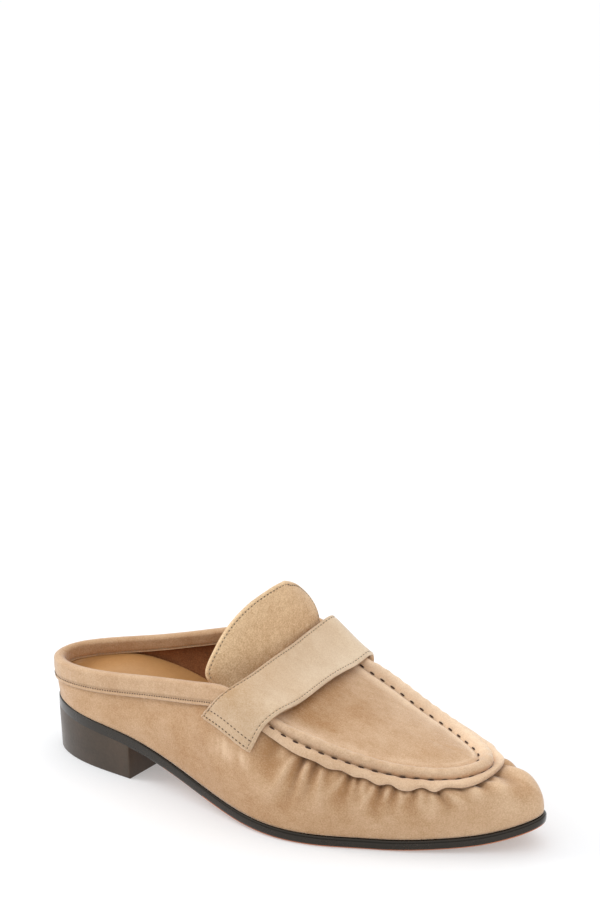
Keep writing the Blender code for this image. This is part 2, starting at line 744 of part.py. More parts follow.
def main():
    for old in list(bpy.data.objects):
        bpy.data.objects.remove(old, do_unlink=True)
    collection = bpy.data.collections.new("loafer_mule")
    bpy.context.scene.collection.children.link(collection)
    suede = material("suede", (0.55, 0.40, 0.26), 0.95, 0.3)
    strap_suede = material("strap_suede", (0.60, 0.45, 0.30), 0.95, 0.3)
    apron_suede = material("apron_suede", (0.57, 0.42, 0.27), 0.95, 0.3)
    tongue_suede = material("tongue_suede", (0.57, 0.42, 0.28), 0.95, 0.3)
    binding_suede = material("binding_suede", (0.55, 0.40, 0.26), 0.95, 0.3)
    insole_leather = material("insole_leather", (0.50, 0.30, 0.13), 0.45)
    sole_leather = material("sole_leather", (0.03, 0.022, 0.018), 0.35)
    heel_stack = material("heel_stack", (0.05, 0.04, 0.035), 0.35)
    made = [
        build_outsole(sole_leather, collection),
        build_heel(heel_stack, collection),
        build_upper(suede, collection),
        build_insole(insole_leather, collection),
        build_apron(apron_suede, collection),
        build_strap(strap_suede, collection),
        build_binding(binding_suede, collection),
        build_tongue(tongue_suede, collection),
    ]
    # The middle of the whole box's underside is the origin
    bpy.context.view_layer.update()
    lows = np.min([np.min([tuple(c) for c in part.bound_box], axis=0) for part in made], axis=0)
    highs = np.max([np.max([tuple(c) for c in part.bound_box], axis=0) for part in made], axis=0)
    shift = ((lows[0] + highs[0]) / 2.0, (lows[1] + highs[1]) / 2.0, lows[2])
    for part in made:
        for vertex in part.data.vertices:
            vertex.co.x -= shift[0]
            vertex.co.y -= shift[1]
            vertex.co.z -= shift[2]


main()
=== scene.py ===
"""Looks of the loafer mule: sand suede with nap, gathered pleats under the rolled seam,
sewn edges, a tan insole, a dark lining, a glossed heel and a thin glossed sole edge.
"""

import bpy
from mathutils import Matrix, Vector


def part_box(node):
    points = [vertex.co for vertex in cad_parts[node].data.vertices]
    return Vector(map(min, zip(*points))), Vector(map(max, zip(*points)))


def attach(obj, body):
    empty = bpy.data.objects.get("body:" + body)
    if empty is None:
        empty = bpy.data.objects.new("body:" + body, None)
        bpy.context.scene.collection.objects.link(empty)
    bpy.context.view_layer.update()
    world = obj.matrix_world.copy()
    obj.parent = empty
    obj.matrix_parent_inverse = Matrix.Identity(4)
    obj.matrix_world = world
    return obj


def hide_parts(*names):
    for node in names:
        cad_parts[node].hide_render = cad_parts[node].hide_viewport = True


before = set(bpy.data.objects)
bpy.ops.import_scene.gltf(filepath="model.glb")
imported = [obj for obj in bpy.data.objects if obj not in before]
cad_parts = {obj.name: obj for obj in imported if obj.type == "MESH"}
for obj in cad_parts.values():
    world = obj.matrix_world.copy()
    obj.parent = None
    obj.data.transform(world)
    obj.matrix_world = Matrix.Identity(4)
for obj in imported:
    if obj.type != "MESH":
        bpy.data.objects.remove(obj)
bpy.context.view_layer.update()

import bpy
import numpy as np
from math import cos, pi, radians, sin, tan
from mathutils import Matrix, Vector
from mathutils.kdtree import KDTree

# Sizes of the shoe
LENGTH = 0.270
BALL_WIDTH = 0.093
HEEL_HEIGHT = 0.0235
TOE_SPRING = 0.0117
SOLE_THICKNESS = 0.0053
WALL_HEIGHT = 0.060
UPPER_WALL = 0.0018
GAP = 0.0003
FEATHER_INSET = 0.0014
HEEL_LENGTH = 0.0624
BREAST_TURN = radians(6.0)
HEEL_TAPER = 0.0009
INSOLE_THICKNESS = 0.0036
HEEL_PAD = 0.0129
BINDING_LEATHER = 0.0012
BINDING_DEPTH = 0.0088
BINDING_INSIDE = 0.0062
BINDING_ROLL = 0.0022
BINDING_ENDS = (0.470, 0.498)
BEAD_HEIGHT = 0.0043
BEAD_WIDTH = 0.0056
STRAP_THICKNESS = 0.0024
STRAP_SLANT = 0.0036
STRAP_BOW = 0.0024
TONGUE_LEATHER = 0.0022
TONGUE_TURN = radians(11.0)
APRON_REAR = 0.520
SEAM_PITCH = 0.0066
STRAP_PITCH = 0.0023
BINDING_PITCH = 0.0017
TONGUE_PITCH = 0.0021
WELD = 0.00002
APRON_SKIN = 0.0013
STRAP_WIDTH = 0.0285
STRAP_SIDE_ROW = 0.0018
STRAP_END_ROWS = (0.0024, 0.0070)
BINDING_ROW = 0.0070
TONGUE_ROW = 0.0019
HEEL_IN_SOLE = 0.0006
UPRIGHT = np.array([0.0, 0.0, 1.0])

# Shade in the seams, and the one lamp
SEAM_SHADE = (0.26, 0.14, 0.07, 1.0)
KEY_SPOT = (-1.15, -0.35, 0.85)
KEY_AIM = (0.0, 0.0, 0.03)
KEY_SIZE = 0.5
KEY_POWER = 6.0

# Rise of the footbed over the sole, past the thickness of the insole
# along, share of HEEL_PAD
FOOTBED = (
    (0.000, 0.56),
    (0.033, 0.67),
    (0.070, 0.83),
    (0.110, 0.97),
    (0.160, 0.92),
    (0.220, 0.77),
    (0.300, 0.54),
    (0.370, 0.37),
    (0.450, 0.21),
    (0.550, 0.08),
    (0.650, 0.01),
    (0.750, 0.00),
    (1.000, 0.00),
)

# Half widths of the sole either side of the line from heel to toe tip
# along, lateral, medial (shares of LENGTH and BALL_WIDTH)
OUTLINE = (
    (0.0000, 0.000, 0.000),
    (0.0148, 0.129, 0.132),
    (0.0444, 0.206, 0.209),
    (0.1111, 0.288, 0.280),
    (0.2296, 0.345, 0.302),
    (0.3519, 0.418, 0.304),
    (0.4630, 0.508, 0.340),
    (0.5556, 0.565, 0.395),
    (0.6481, 0.542, 0.428),
    (0.7222, 0.467, 0.412),
    (0.7963, 0.387, 0.360),
    (0.8704, 0.287, 0.278),
    (0.9333, 0.190, 0.196),
    (0.9741, 0.118, 0.127),
    (0.9944, 0.056, 0.061),
    (1.0000, 0.000, 0.000),
)

# Underside of the sole over the floor
# along, share of HEEL_HEIGHT, share of TOE_SPRING
PROFILE = (
    (0.000, 1.000, 0.000),
    (0.111, 0.883, 0.000),
    (0.230, 0.745, 0.000),
    (0.370, 0.370, 0.000),
    (0.481, 0.092, 0.000),
    (0.574, 0.010, 0.000),
    (0.648, 0.000, 0.000),
    (0.759, 0.000, 0.000),
    (0.852, 0.000, 0.140),
    (0.926, 0.000, 0.400),
    (1.000, 0.000, 1.000),
)

# Top edge of the upper: the collar behind, the apron seam in front
# along, top along, lateral, medial (shares of LENGTH and BALL_WIDTH),
# lateral rise, medial rise over the sole (shares of WALL_HEIGHT), lean (degrees),
# swell (share of BALL_WIDTH), fullness (share of the rise)
TOPLINE = (
    (0.0000, -0.004, 0.000, 0.000, 0.303, 0.303, -4.0, 0.010, 0.40),
    (0.0444, 0.041, 0.190, 0.192, 0.340, 0.340, 2.0, 0.012, 0.40),
    (0.1111, 0.111, 0.267, 0.274, 0.402, 0.408, 4.0, 0.012, 0.40),
    (0.2222, 0.222, 0.320, 0.348, 0.522, 0.555, 6.0, 0.020, 0.40),
    (0.3333, 0.333, 0.385, 0.415, 0.725, 0.782, 8.0, 0.035, 0.40),
    (0.4074, 0.404, 0.436, 0.462, 0.873, 0.952, 12.0, 0.040, 0.40),
    (0.4630, 0.457, 0.472, 0.484, 0.950, 1.060, 18.0, 0.035, 0.40),
    (0.5556, 0.552, 0.492, 0.446, 0.810, 0.915, 32.0, 0.022, 0.40),
    (0.6481, 0.641, 0.468, 0.410, 0.670, 0.750, 42.0, 0.018, 0.42),
    (0.7222, 0.709, 0.397, 0.362, 0.560, 0.628, 54.0, 0.018, 0.46),
    (0.7963, 0.778, 0.321, 0.300, 0.485, 0.535, 68.0, 0.018, 0.54),
    (0.8704, 0.837, 0.230, 0.211, 0.435, 0.466, 80.0, 0.018, 0.72),
    (0.9333, 0.872, 0.146, 0.131, 0.420, 0.430, 88.0, 0.018, 0.88),
    (0.9741, 0.887, 0.074, 0.068, 0.415, 0.417, 90.0, 0.018, 0.96),
    (1.0000, 0.893, 0.000, 0.000, 0.413, 0.413, 90.0, 0.018, 0.98),
)

# Ridge of the instep and the apron
# along, off the axis (share of BALL_WIDTH), rise over the sole (share of WALL_HEIGHT)
RIDGE = (
    (0.440, 0.090, 1.105),
    (0.500, 0.080, 0.985),
    (0.580, 0.055, 0.838),
    (0.660, 0.030, 0.738),
    (0.740, 0.015, 0.642),
    (0.815, 0.005, 0.560),
    (0.880, 0.000, 0.480),
)

# Where each station of the seam looks on the ridge
# along, ridge along
SPINE = (
    (0.200, 0.200),
    (0.400, 0.400),
    (0.560, 0.556),
    (0.650, 0.640),
    (0.730, 0.710),
    (0.810, 0.765),
    (0.880, 0.800),
    (0.940, 0.815),
    (1.000, 0.822),
)

# Strap from its outer end up to the ridge, and the same down the inner side further forward
# kind, distance (metres or share to the ridge), share of the end's slant and bow,
# rear along, front along, rear lift, front lift, face (degrees),
# inner shift of the rear and of the front (shares of LENGTH), inner raise of the rear
STRAP = (
    ("wall", 0.0142, 1.00, 0.412, 0.529, 0.0005, 0.0005, 12.0, 0.040, 0.040, 0.0000),
    ("wall", 0.0090, 0.35, 0.434, 0.540, 0.0018, 0.0020, 18.0, 0.036, 0.038, 0.0000),
    ("wall", 0.0030, 0.00, 0.459, 0.550, 0.0034, 0.0037, 38.0, 0.029, 0.034, 0.0010),
    ("deck", 0.0900, 0.00, 0.475, 0.560, 0.0033, 0.0041, 70.0, 0.019, 0.028, 0.0028),
    ("deck", 0.3200, 0.00, 0.479, 0.569, 0.0031, 0.0031, 82.0, 0.009, 0.017, 0.0024),
    ("deck", 0.6500, 0.00, 0.480, 0.575, 0.0034, 0.0028, 88.0, 0.003, 0.006, 0.0014),
    ("deck", 1.0000, 0.00, 0.480, 0.577, 0.0038, 0.0027, 90.0, 0.000, 0.000, 0.0000),
)

# Tongue from under the apron up to its top
# along, off the axis (share of BALL_WIDTH), rise (share of WALL_HEIGHT), outer half width,
# inner half width (shares of BALL_WIDTH), outer sweep, inner sweep, droop of its edges (metres)
TONGUE = (
    (0.540, 0.010, 0.843, 0.330, 0.330, 0.0020, 0.0020, 0.0060),
    (0.505, 0.010, 0.910, 0.362, 0.362, 0.0050, 0.0040, 0.0060),
    (0.483, 0.000, 1.010, 0.390, 0.390, 0.0100, 0.0045, 0.0050),
    (0.473, 0.009, 1.118, 0.408, 0.406, 0.0120, 0.0035, 0.0040),
    (0.469, 0.064, 1.252, 0.403, 0.374, 0.0105, 0.0040, 0.0040),
    (0.466, 0.104, 1.390, 0.356, 0.312, 0.0085, 0.0055, 0.0034),
    (0.464, 0.124, 1.520, 0.268, 0.208, 0.0055, 0.0050, 0.0030),
    (0.463, 0.120, 1.598, 0.160, 0.118, 0.0020, 0.0020, 0.0022),
    (0.463, 0.118, 1.618, 0.075, 0.055, 0.0005, 0.0005, 0.0010),
)

# Seam of the apron: distance along it from the toe (outer side negative) and flange width
FLANGE_EDGE = (
    (-0.1300, 0.0047),
    (-0.1155, 0.0047),
    (-0.1050, 0.0050),
    (-0.0930, 0.0056),
    (-0.0868, 0.0054),
    (-0.0802, 0.0062),
    (-0.0748, 0.0051),
    (-0.0689, 0.0060),
    (-0.0625, 0.0053),
    (-0.0563, 0.0066),
    (-0.0504, 0.0054),
    (-0.0484, 0.0063),
    (-0.0410, 0.0065),
    (-0.0352, 0.0054),
    (-0.0327, 0.0068),
    (-0.0268, 0.0053),
    (-0.0211, 0.0064),
    (-0.0143, 0.0070),
    (-0.0070, 0.0058),
    (0.0020, 0.0050),
    (0.0095, 0.0063),
    (0.0160, 0.0052),
    (0.0235, 0.0066),
    (0.0300, 0.0053),
    (0.0372, 0.0067),
    (0.0440, 0.0053),
    (0.0515, 0.0063),
    (0.0590, 0.0052),
    (0.0665, 0.0061),
    (0.0740, 0.0051),
    (0.0830, 0.0058),
    (0.0930, 0.0051),
    (0.1050, 0.0049),
    (0.1300, 0.0047),
)

# Pleats drawn in under the flange: seam distance and drop at the top and at the foot,
# depth of the trough, half width at the top and at the foot
PLEATS = (
    (-0.1079, 0.0030, -0.1134, 0.0250, 0.00080, 0.0030, 0.0060),
    (-0.0985, 0.0045, -0.1060, 0.0200, 0.00040, 0.0018, 0.0038),
    (-0.0928, 0.0045, -0.1030, 0.0345, 0.00260, 0.0016, 0.0044),
    (-0.0862, 0.0045, -0.0955, 0.0310, 0.00220, 0.0015, 0.0040),
    (-0.0798, 0.0045, -0.0850, 0.0200, 0.00060, 0.0011, 0.0028),
    (-0.0748, 0.0045, -0.0790, 0.0165, 0.00040, 0.0010, 0.0024),
    (-0.0701, 0.0050, -0.0768, 0.0225, 0.00200, 0.0013, 0.0034),
    (-0.0660, 0.0050, -0.0692, 0.0190, 0.00130, 0.0010, 0.0025),
    (-0.0602, 0.0050, -0.0628, 0.0150, 0.00045, 0.0009, 0.0021),
    (-0.0552, 0.0055, -0.0606, 0.0235, 0.00210, 0.0013, 0.0036),
    (-0.0484, 0.0055, -0.0541, 0.0195, 0.00150, 0.0011, 0.0028),
    (-0.0440, 0.0055, -0.0452, 0.0140, 0.00040, 0.0009, 0.0019),
    (-0.0404, 0.0055, -0.0437, 0.0180, 0.00140, 0.0011, 0.0027),
    (-0.0345, 0.0055, -0.0350, 0.0140, 0.00035, 0.0010, 0.0022),
    (-0.0296, 0.0060, -0.0276, 0.0200, 0.00170, 0.0014, 0.0034),
    (-0.0205, 0.0055, -0.0188, 0.0150, 0.00055, 0.0012, 0.0026),
    (-0.0126, 0.0055, -0.0112, 0.0190, 0.00120, 0.0014, 0.0032),
    (-0.0066, 0.0050, -0.0050, 0.0150, 0.00035, 0.0013, 0.0028),
    (-0.0007, 0.0050, -0.0036, 0.0250, 0.00140, 0.0018, 0.0042),
    (0.0095, 0.0050, 0.0100, 0.0200, 0.00105, 0.0014, 0.0034),
    (0.0170, 0.0045, 0.0180, 0.0140, 0.00070, 0.0012, 0.0026),
    (0.0235, 0.0052, 0.0250, 0.0190, 0.00140, 0.0012, 0.0030),
    (0.0310, 0.0048, 0.0330, 0.0150, 0.00085, 0.0011, 0.0026),
    (0.0372, 0.0052, 0.0400, 0.0200, 0.00160, 0.0012, 0.0032),
    (0.0450, 0.0048, 0.0480, 0.0150, 0.00080, 0.0011, 0.0026),
    (0.0515, 0.0050, 0.0560, 0.0200, 0.00150, 0.0012, 0.0032),
    (0.0600, 0.0048, 0.0640, 0.0160, 0.00080, 0.0011, 0.0026),
    (0.0665, 0.0050, 0.0720, 0.0220, 0.00150, 0.0012, 0.0034),
    (0.0750, 0.0046, 0.0800, 0.0180, 0.00090, 0.0012, 0.0030),
    (0.0830, 0.0046, 0.0910, 0.0260, 0.00140, 0.0014, 0.0036),
    (0.0930, 0.0042, 0.0990, 0.0220, 0.00080, 0.0018, 0.0042),
    (0.1030, 0.0040, 0.1080, 0.0220, 0.00060, 0.0022, 0.0045),
)

# Seam across: kind, distance (share of the flange or bead width), lift (metres, or share
# of the bead height)
SEAM_SECTION = (
    ("flange", 0.90, 0.0005),
    ("flange", 0.98, 0.0009),
    ("flange", 1.00, 0.0018),
    ("flange", 0.96, 0.0026),
    ("flange", 0.80, 0.0029),
    ("flange", 0.44, 0.0026),
    ("flange", 0.16, 0.0016),
    ("flange", 0.03, 0.0006),
    ("bead", 0.03, 0.20),
    ("bead", 0.06, 0.52),
    ("bead", 0.19, 0.92),
    ("bead", 0.42, 1.08),
    ("bead", 0.68, 0.98),
    ("bead", 0.89, 0.62),
    ("bead", 0.99, 0.20),
    ("bead", 1.06, -0.10),
    ("bead", 1.20, -0.07),
    ("bead", 1.50, 0.02),
)


def spline(knots, values, flat_ends=False):
    """Cubic through the knots, with straight or level ends."""
    knots = np.asarray(knots, float)
    values = np.asarray(values, float)
    count = len(knots)
    steps = np.diff(knots)
    slopes = np.diff(values) / steps
    rows = np.zeros((count, count))
    right = np.zeros(count)
    for k in range(1, count - 1):
        rows[k, k - 1] = steps[k - 1]
        rows[k, k] = 2.0 * (steps[k - 1] + steps[k])
        rows[k, k + 1] = steps[k]
        right[k] = 6.0 * (slopes[k] - slopes[k - 1])
    rows[0, 0] = 2.0 * steps[0]
    rows[-1, -1] = 2.0 * steps[-1]
    if flat_ends:
        rows[0, 1] = steps[0]
        rows[-1, -2] = steps[-1]
        right[0] = 6.0 * slopes[0]
        right[-1] = -6.0 * slopes[-1]
    bends = np.linalg.solve(rows, right)

    def value(at):
        at = np.clip(np.asarray(at, float), knots[0], knots[-1])
        k = np.clip(np.searchsorted(knots, at, side="right") - 1, 0, count - 2)
        step = steps[k]
        a = (knots[k + 1] - at) / step
        b = (at - knots[k]) / step
        curve = ((a ** 3 - a) * bends[k] + (b ** 3 - b) * bends[k + 1]) * step ** 2 / 6.0
        return a * values[k] + b * values[k + 1] + curve

    return value


def turn(along):
    """Station angle of a share of the length: nought at the heel, pi at the toe tip."""
    return np.arccos(np.clip(1.0 - 2.0 * np.asarray(along, float), -1.0, 1.0))


def by_turn(table, column, flat_ends):
    return spline([float(turn(row[0])) for row in table], [row[column] for row in table], flat_ends)


def by_along(table, column):
    return spline([row[0] for row in table], [row[column] for row in table])


lateral_half = by_turn(OUTLINE, 1, False)
medial_half = by_turn(OUTLINE, 2, False)
heel_part = by_along(PROFILE, 1)
spring_part = by_along(PROFILE, 2)
top_along = by_turn(TOPLINE, 1, True)
top_lateral = by_turn(TOPLINE, 2, False)
top_medial = by_turn(TOPLINE, 3, False)
rise_lateral = by_turn(TOPLINE, 4, True)
rise_medial = by_turn(TOPLINE, 5, True)
lean_angle = by_turn(TOPLINE, 6, True)
swell_share = by_turn(TOPLINE, 7, True)
fullness = by_turn(TOPLINE, 8, True)
ridge_off = by_along(RIDGE, 1)
ridge_rise = by_along(RIDGE, 2)
spine_along = by_turn(SPINE, 1, True)
pad_share = by_along(FOOTBED, 1)


def fold(loop):
    """Station angle and side (-1 outer, +1 inner) of positions round the shoe."""
    loop = np.mod(np.asarray(loop, float), 2.0 * pi)
    outer = loop <= pi
    return np.where(outer, loop, 2.0 * pi - loop), np.where(outer, -1.0, 1.0)


def place(x, y, z):
    return np.stack(np.broadcast_arrays(x, y, z), axis=-1).astype(float)


def underside(x):
    along = np.clip(np.asarray(x, float) / LENGTH, 0.0, 1.0)
    return (np.maximum(heel_part(along), 0.0) * HEEL_HEIGHT
            + np.maximum(spring_part(along), 0.0) * TOE_SPRING)


def sole_top(x):
    return underside(x) + SOLE_THICKNESS


def share_along(theta):
    """Share of the length at a station angle."""
    return (1.0 - np.cos(theta)) / 2.0


def unit(vectors):
    return vectors / np.linalg.norm(vectors, axis=-1, keepdims=True)


def outline(loop):
    theta, side = fold(loop)
    half = np.where(side < 0.0, lateral_half(theta), medial_half(theta))
    return place(share_along(theta) * LENGTH, side * half * BALL_WIDTH, 0.0)


def outward(curve, loop):
    """Unit plan normal of a closed curve that runs heel, outer side, toe, inner side."""
    ahead = curve(np.asarray(loop) + 0.01) - curve(np.asarray(loop) - 0.01)
    return unit(place(ahead[..., 1], -ahead[..., 0], 0.0))


def inset_outline(loop, inset):
    return outline(loop) - outward(outline, loop) * np.asarray(inset)[..., None]


def feather(loop):
    """Where the upper meets the sole."""
    inset = FEATHER_INSET * (0.45 + 0.55 * share_along(fold(loop)[0]))
    line = inset_outline(loop, inset)
    line[..., 2] = sole_top(line[..., 0]) + GAP
    return line


def topline(loop):
    theta, side = fold(loop)
    x = top_along(theta) * LENGTH
    half = np.where(side < 0.0, top_lateral(theta), top_medial(theta))
    rise = np.where(side < 0.0, rise_lateral(theta), rise_medial(theta))
    return place(x, side * half * BALL_WIDTH, sole_top(x) + rise * WALL_HEIGHT)


def wall(loop, up):
    """Outer face of the upper, up from the feather line to its top edge."""
    loop = np.asarray(loop, float)
    up = np.asarray(up, float)[..., None]
    theta = fold(loop)[0]
    low = feather(loop)
    high = topline(loop)
    rise = (high - low)[..., 2:3]
    reach = np.linalg.norm(high - low, axis=-1, keepdims=True)
    lean = np.radians(lean_angle(theta))[..., None]
    swell = outward(feather, loop) * (swell_share(theta) * BALL_WIDTH)[..., None]
    first = low + UPRIGHT * fullness(theta)[..., None] * rise + swell
    second = high - (UPRIGHT * np.cos(lean) - outward(topline, loop) * np.sin(lean)) * 0.40 * reach
    rest = 1.0 - up
    return (rest ** 3 * low + 3.0 * rest ** 2 * up * first + 3.0 * rest * up ** 2 * second
            + up ** 3 * high)


def surface_normal(surface, loop, share):
    """Unit normal of the wall or the deck."""
    loop = np.asarray(loop, float)
    share = np.asarray(share, float)
    along = surface(loop + 0.01, share) - surface(loop - 0.01, share)
    rising = surface(loop, share + 0.01) - surface(loop, share - 0.01)
    return unit(np.cross(along, rising))


def inside_wall(loop, x, height, clear):
    """Points a height over the sole and a distance in from the inner face of the upper."""
    shares = np.linspace(0.0, 1.0, 61)
    lines = wall(*np.meshgrid(loop, shares, indexing="ij"))
    level = sole_top(x) + height
    up = np.array([np.interp(level[k], lines[k, :, 2], shares) for k in range(len(loop))])
    points = wall(loop, up) - surface_normal(wall, loop, up) * (UPPER_WALL + clear)
    points[:, 2] = level
    return points


def wall_drop(loop, drop):
    """Share up the wall that lies a distance below its top edge, along the wall."""
    loop = np.atleast_1d(np.asarray(loop, float))
    drop = np.broadcast_to(np.asarray(drop, float), loop.shape)
    shares = np.linspace(1.0, 0.0, 61)
    points = wall(*np.meshgrid(loop, shares, indexing="ij"))
    lengths = np.cumsum(np.linalg.norm(np.diff(points, axis=1), axis=-1), axis=1)
    lengths = np.concatenate([np.zeros((len(loop), 1)), lengths], axis=1)
    return np.array([np.interp(drop[k], lengths[k], shares) for k in range(len(loop))])


def on_wall(loop, drop, lift):
    """Points a distance below the top edge and a height off the wall."""
    loop = np.atleast_1d(np.asarray(loop, float))
    up = wall_drop(loop, drop)
    lift = np.broadcast_to(np.asarray(lift, float), loop.shape)
    return wall(loop, up) + surface_normal(wall, loop, up) * lift[:, None]


def ridge(along):
    x = np.asarray(along, float) * LENGTH
    return place(x, ridge_off(along) * BALL_WIDTH, sole_top(x) + ridge_rise(along) * WALL_HEIGHT)


def deck(loop, inward):
    """Face of the instep from the top edge of the upper (0) to the ridge (1)."""
    loop = np.asarray(loop, float)
    inward = np.asarray(inward, float)[..., None]
    edge = topline(loop)
    top = ridge(spine_along(fold(loop)[0]))
    plan = edge + (top - edge) * inward
    height = edge[..., 2:3] + (top - edge)[..., 2:3] * (1.0 - (1.0 - inward) ** 2)
    return np.concatenate([plan[..., :2], height], axis=-1)


def on_deck(loop, distance, lift):
    """Points a distance in from the seam and a height off the deck."""
    loop = np.atleast_1d(np.asarray(loop, float))
    span = np.linalg.norm((ridge(spine_along(fold(loop)[0])) - topline(loop))[..., :2], axis=-1)
    inward = distance / span
    lift = np.broadcast_to(np.asarray(lift, float), loop.shape)
    return deck(loop, inward) + surface_normal(deck, loop, inward) * lift[:, None], inward


def run_of(points):
    """Distance along a line of points up to each of them."""
    steps = np.linalg.norm(np.diff(points, axis=0), axis=1)
    return np.concatenate([[0.0], np.cumsum(steps)])


def strap_points(across, lift):
    """Points of the table along the strap, at a share of its width."""
    ending = STRAP_SLANT * across + STRAP_BOW * 4.0 * across * (1.0 - across)
    points = []
    for side in (-1.0, 1.0):
        half = []
        for row in STRAP:
            kind, distance, end, rear, front, rear_lift, front_lift, face = row[:8]
            rear_in, front_in, raised = row[8:]
            if side > 0.0:
                rear += rear_in
                front += front_in
                rear_lift += raised
            height = rear_lift + (front_lift - rear_lift) * across + lift
            theta = float(turn(rear + (front - rear) * across))
            loop = theta if side < 0.0 else 2.0 * pi - theta
            if kind == "wall":
                point = on_wall(loop, distance + end * ending, 0.0)[0]
            else:
                point = deck(np.array([loop]), np.array([distance]))[0]
            angle = radians(face)
            way = np.array([0.25 * sin(angle), side * cos(angle), sin(angle)])
            half.append(point + way / np.linalg.norm(way) * height)
        points.append(half)
    outer, inner = points
    middle = (outer[-1] + inner[-1]) / 2.0
    return np.array(outer[:-1] + [middle] + inner[:-1][::-1])


def bell(value, middle, width):
    """1 in the middle, falling away to both sides."""
    return np.exp(-((value - middle) / width) ** 2)


def ramp(value, start, length):
    """0 before the start, 1 past the length, straight between them."""
    return np.clip((value - start) / length, 0.0, 1.0)


def pick(*pieces):
    """Selects these pieces alone, the first of them active."""
    for each in bpy.context.selected_objects:
        each.select_set(False)
    for piece in pieces:
        piece.select_set(True)
        bpy.context.view_layer.objects.active = pieces[0]


def named(name):
    made = bpy.context.active_object
    made.name = name
    made.data.name = name
    return made


def editing(piece, *steps):
    """Runs the steps in edit mode, with the whole mesh selected first."""
    pick(piece)
    bpy.ops.object.mode_set(mode="EDIT")
    bpy.ops.mesh.select_all(action="SELECT")
    for step in steps:
        step()
    bpy.ops.mesh.select_all(action="DESELECT")
    bpy.ops.object.mode_set(mode="OBJECT")


def finished(piece, kind, **settings):
    """Adds a modifier with its settings and applies it."""
    pick(piece)
    step = piece.modifiers.new(kind.lower(), kind)
    for key, value in settings.items():
        setattr(step, key, value)
    bpy.ops.object.modifier_apply(modifier=step.name)


def faces_point(piece, way):
    """Turns an open sheet over if its faces don't point the given way on the whole."""
    faces = piece.data.polygons
    if sum(face.normal.dot(Vector(way(face.center))) * face.area for face in faces) < 0.0:
        editing(piece, bpy.ops.mesh.flip_normals)


def outwards(piece):
    """Turns the faces of a closed shell out."""
    editing(piece, lambda: bpy.ops.mesh.normals_make_consistent(inside=False))


def closed_up(piece, fill):
    """Fills the open ends of a tube and turns its faces out."""
    editing(piece, lambda: bpy.ops.mesh.select_all(action="DESELECT"),
            bpy.ops.mesh.select_non_manifold, fill)
    outwards(piece)


def laid(name, grid, closed=False):
    """Flat grid whose vertices are laid on the shoe, rows by columns; welded if closed."""
    rows, columns = grid.shape[:2]
    pick()
    bpy.ops.mesh.primitive_grid_add(x_subdivisions=columns - 1, y_subdivisions=rows - 1, size=1.0)
    piece = named(name)
    flat = np.empty(len(piece.data.vertices) * 3)
    piece.data.vertices.foreach_get("co", flat)
    flat = flat.reshape(-1, 3)
    column = np.rint((flat[:, 0] + 0.5) * (columns - 1)).astype(int)
    row = np.rint((flat[:, 1] + 0.5) * (rows - 1)).astype(int)
    piece.data.vertices.foreach_set("co", (grid[row, column] + SHIFT).ravel())
    piece.data.update()
    if closed:
        editing(piece, lambda: bpy.ops.mesh.remove_doubles(threshold=WELD))
    return piece


def drawn_in(ring, shares):
    """A ring round the shoe, drawn in to the middle line by each share."""
    return [ring * [1.0, 1.0 - share, 1.0] for share in shares]


def ringed(name, lines):
    """Closed shell laid on lines round the shoe."""
    grid = np.array(lines)
    grid[:, -1] = grid[:, 0]
    piece = laid(name, grid, closed=True)
    outwards(piece)
    return piece


def smooth(piece, angle=None):
    pick(piece)
    if angle is None:
        bpy.ops.object.shade_smooth()
    else:
        bpy.ops.object.shade_smooth_by_angle(angle=radians(angle))


def dress(piece, slot, nodes, *finishes):
    """Materials, body and the solids that a piece stands for; the slot is not used."""
    for finish in finishes:
        if finish.name not in [m.name for m in piece.data.materials if m]:
            piece.data.materials.append(finish)
    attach(piece, "root")
    if nodes:
        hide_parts(*nodes)


def nearest(spots):
    """Tree that finds the nearest of the spots."""
    tree = KDTree(len(spots))
    for k, spot in enumerate(spots):
        tree.insert(spot, k)
    tree.balance()
    return tree


def paint(piece, grid, **layers):
    """Painted shares of each vertex, from the nearest point of the grid under it."""
    tree = nearest((grid + SHIFT).reshape(-1, 3))
    under = [tree.find(vertex.co)[1] for vertex in piece.data.vertices]
    for label, tone in layers.items():
        layer = piece.data.attributes.new(label, "FLOAT", "POINT")
        tone = np.broadcast_to(tone, grid.shape[:2]).ravel()
        layer.data.foreach_set("value", tone[under].tolist())


def along_line(values, at):
    values = np.asarray(values)
    low = np.clip(np.floor(at).astype(int), 0, len(values) - 2)
    part = (at - low)[:, None]
    return values[low] * (1.0 - part) + values[low + 1] * part


def dense(points):
    """The same line with ten times as many points."""
    points = np.asarray(points)
    at = np.linspace(0.0, len(points) - 1.0, len(points) * 10)
    return along_line(points, np.minimum(at, len(points) - 1.0001))


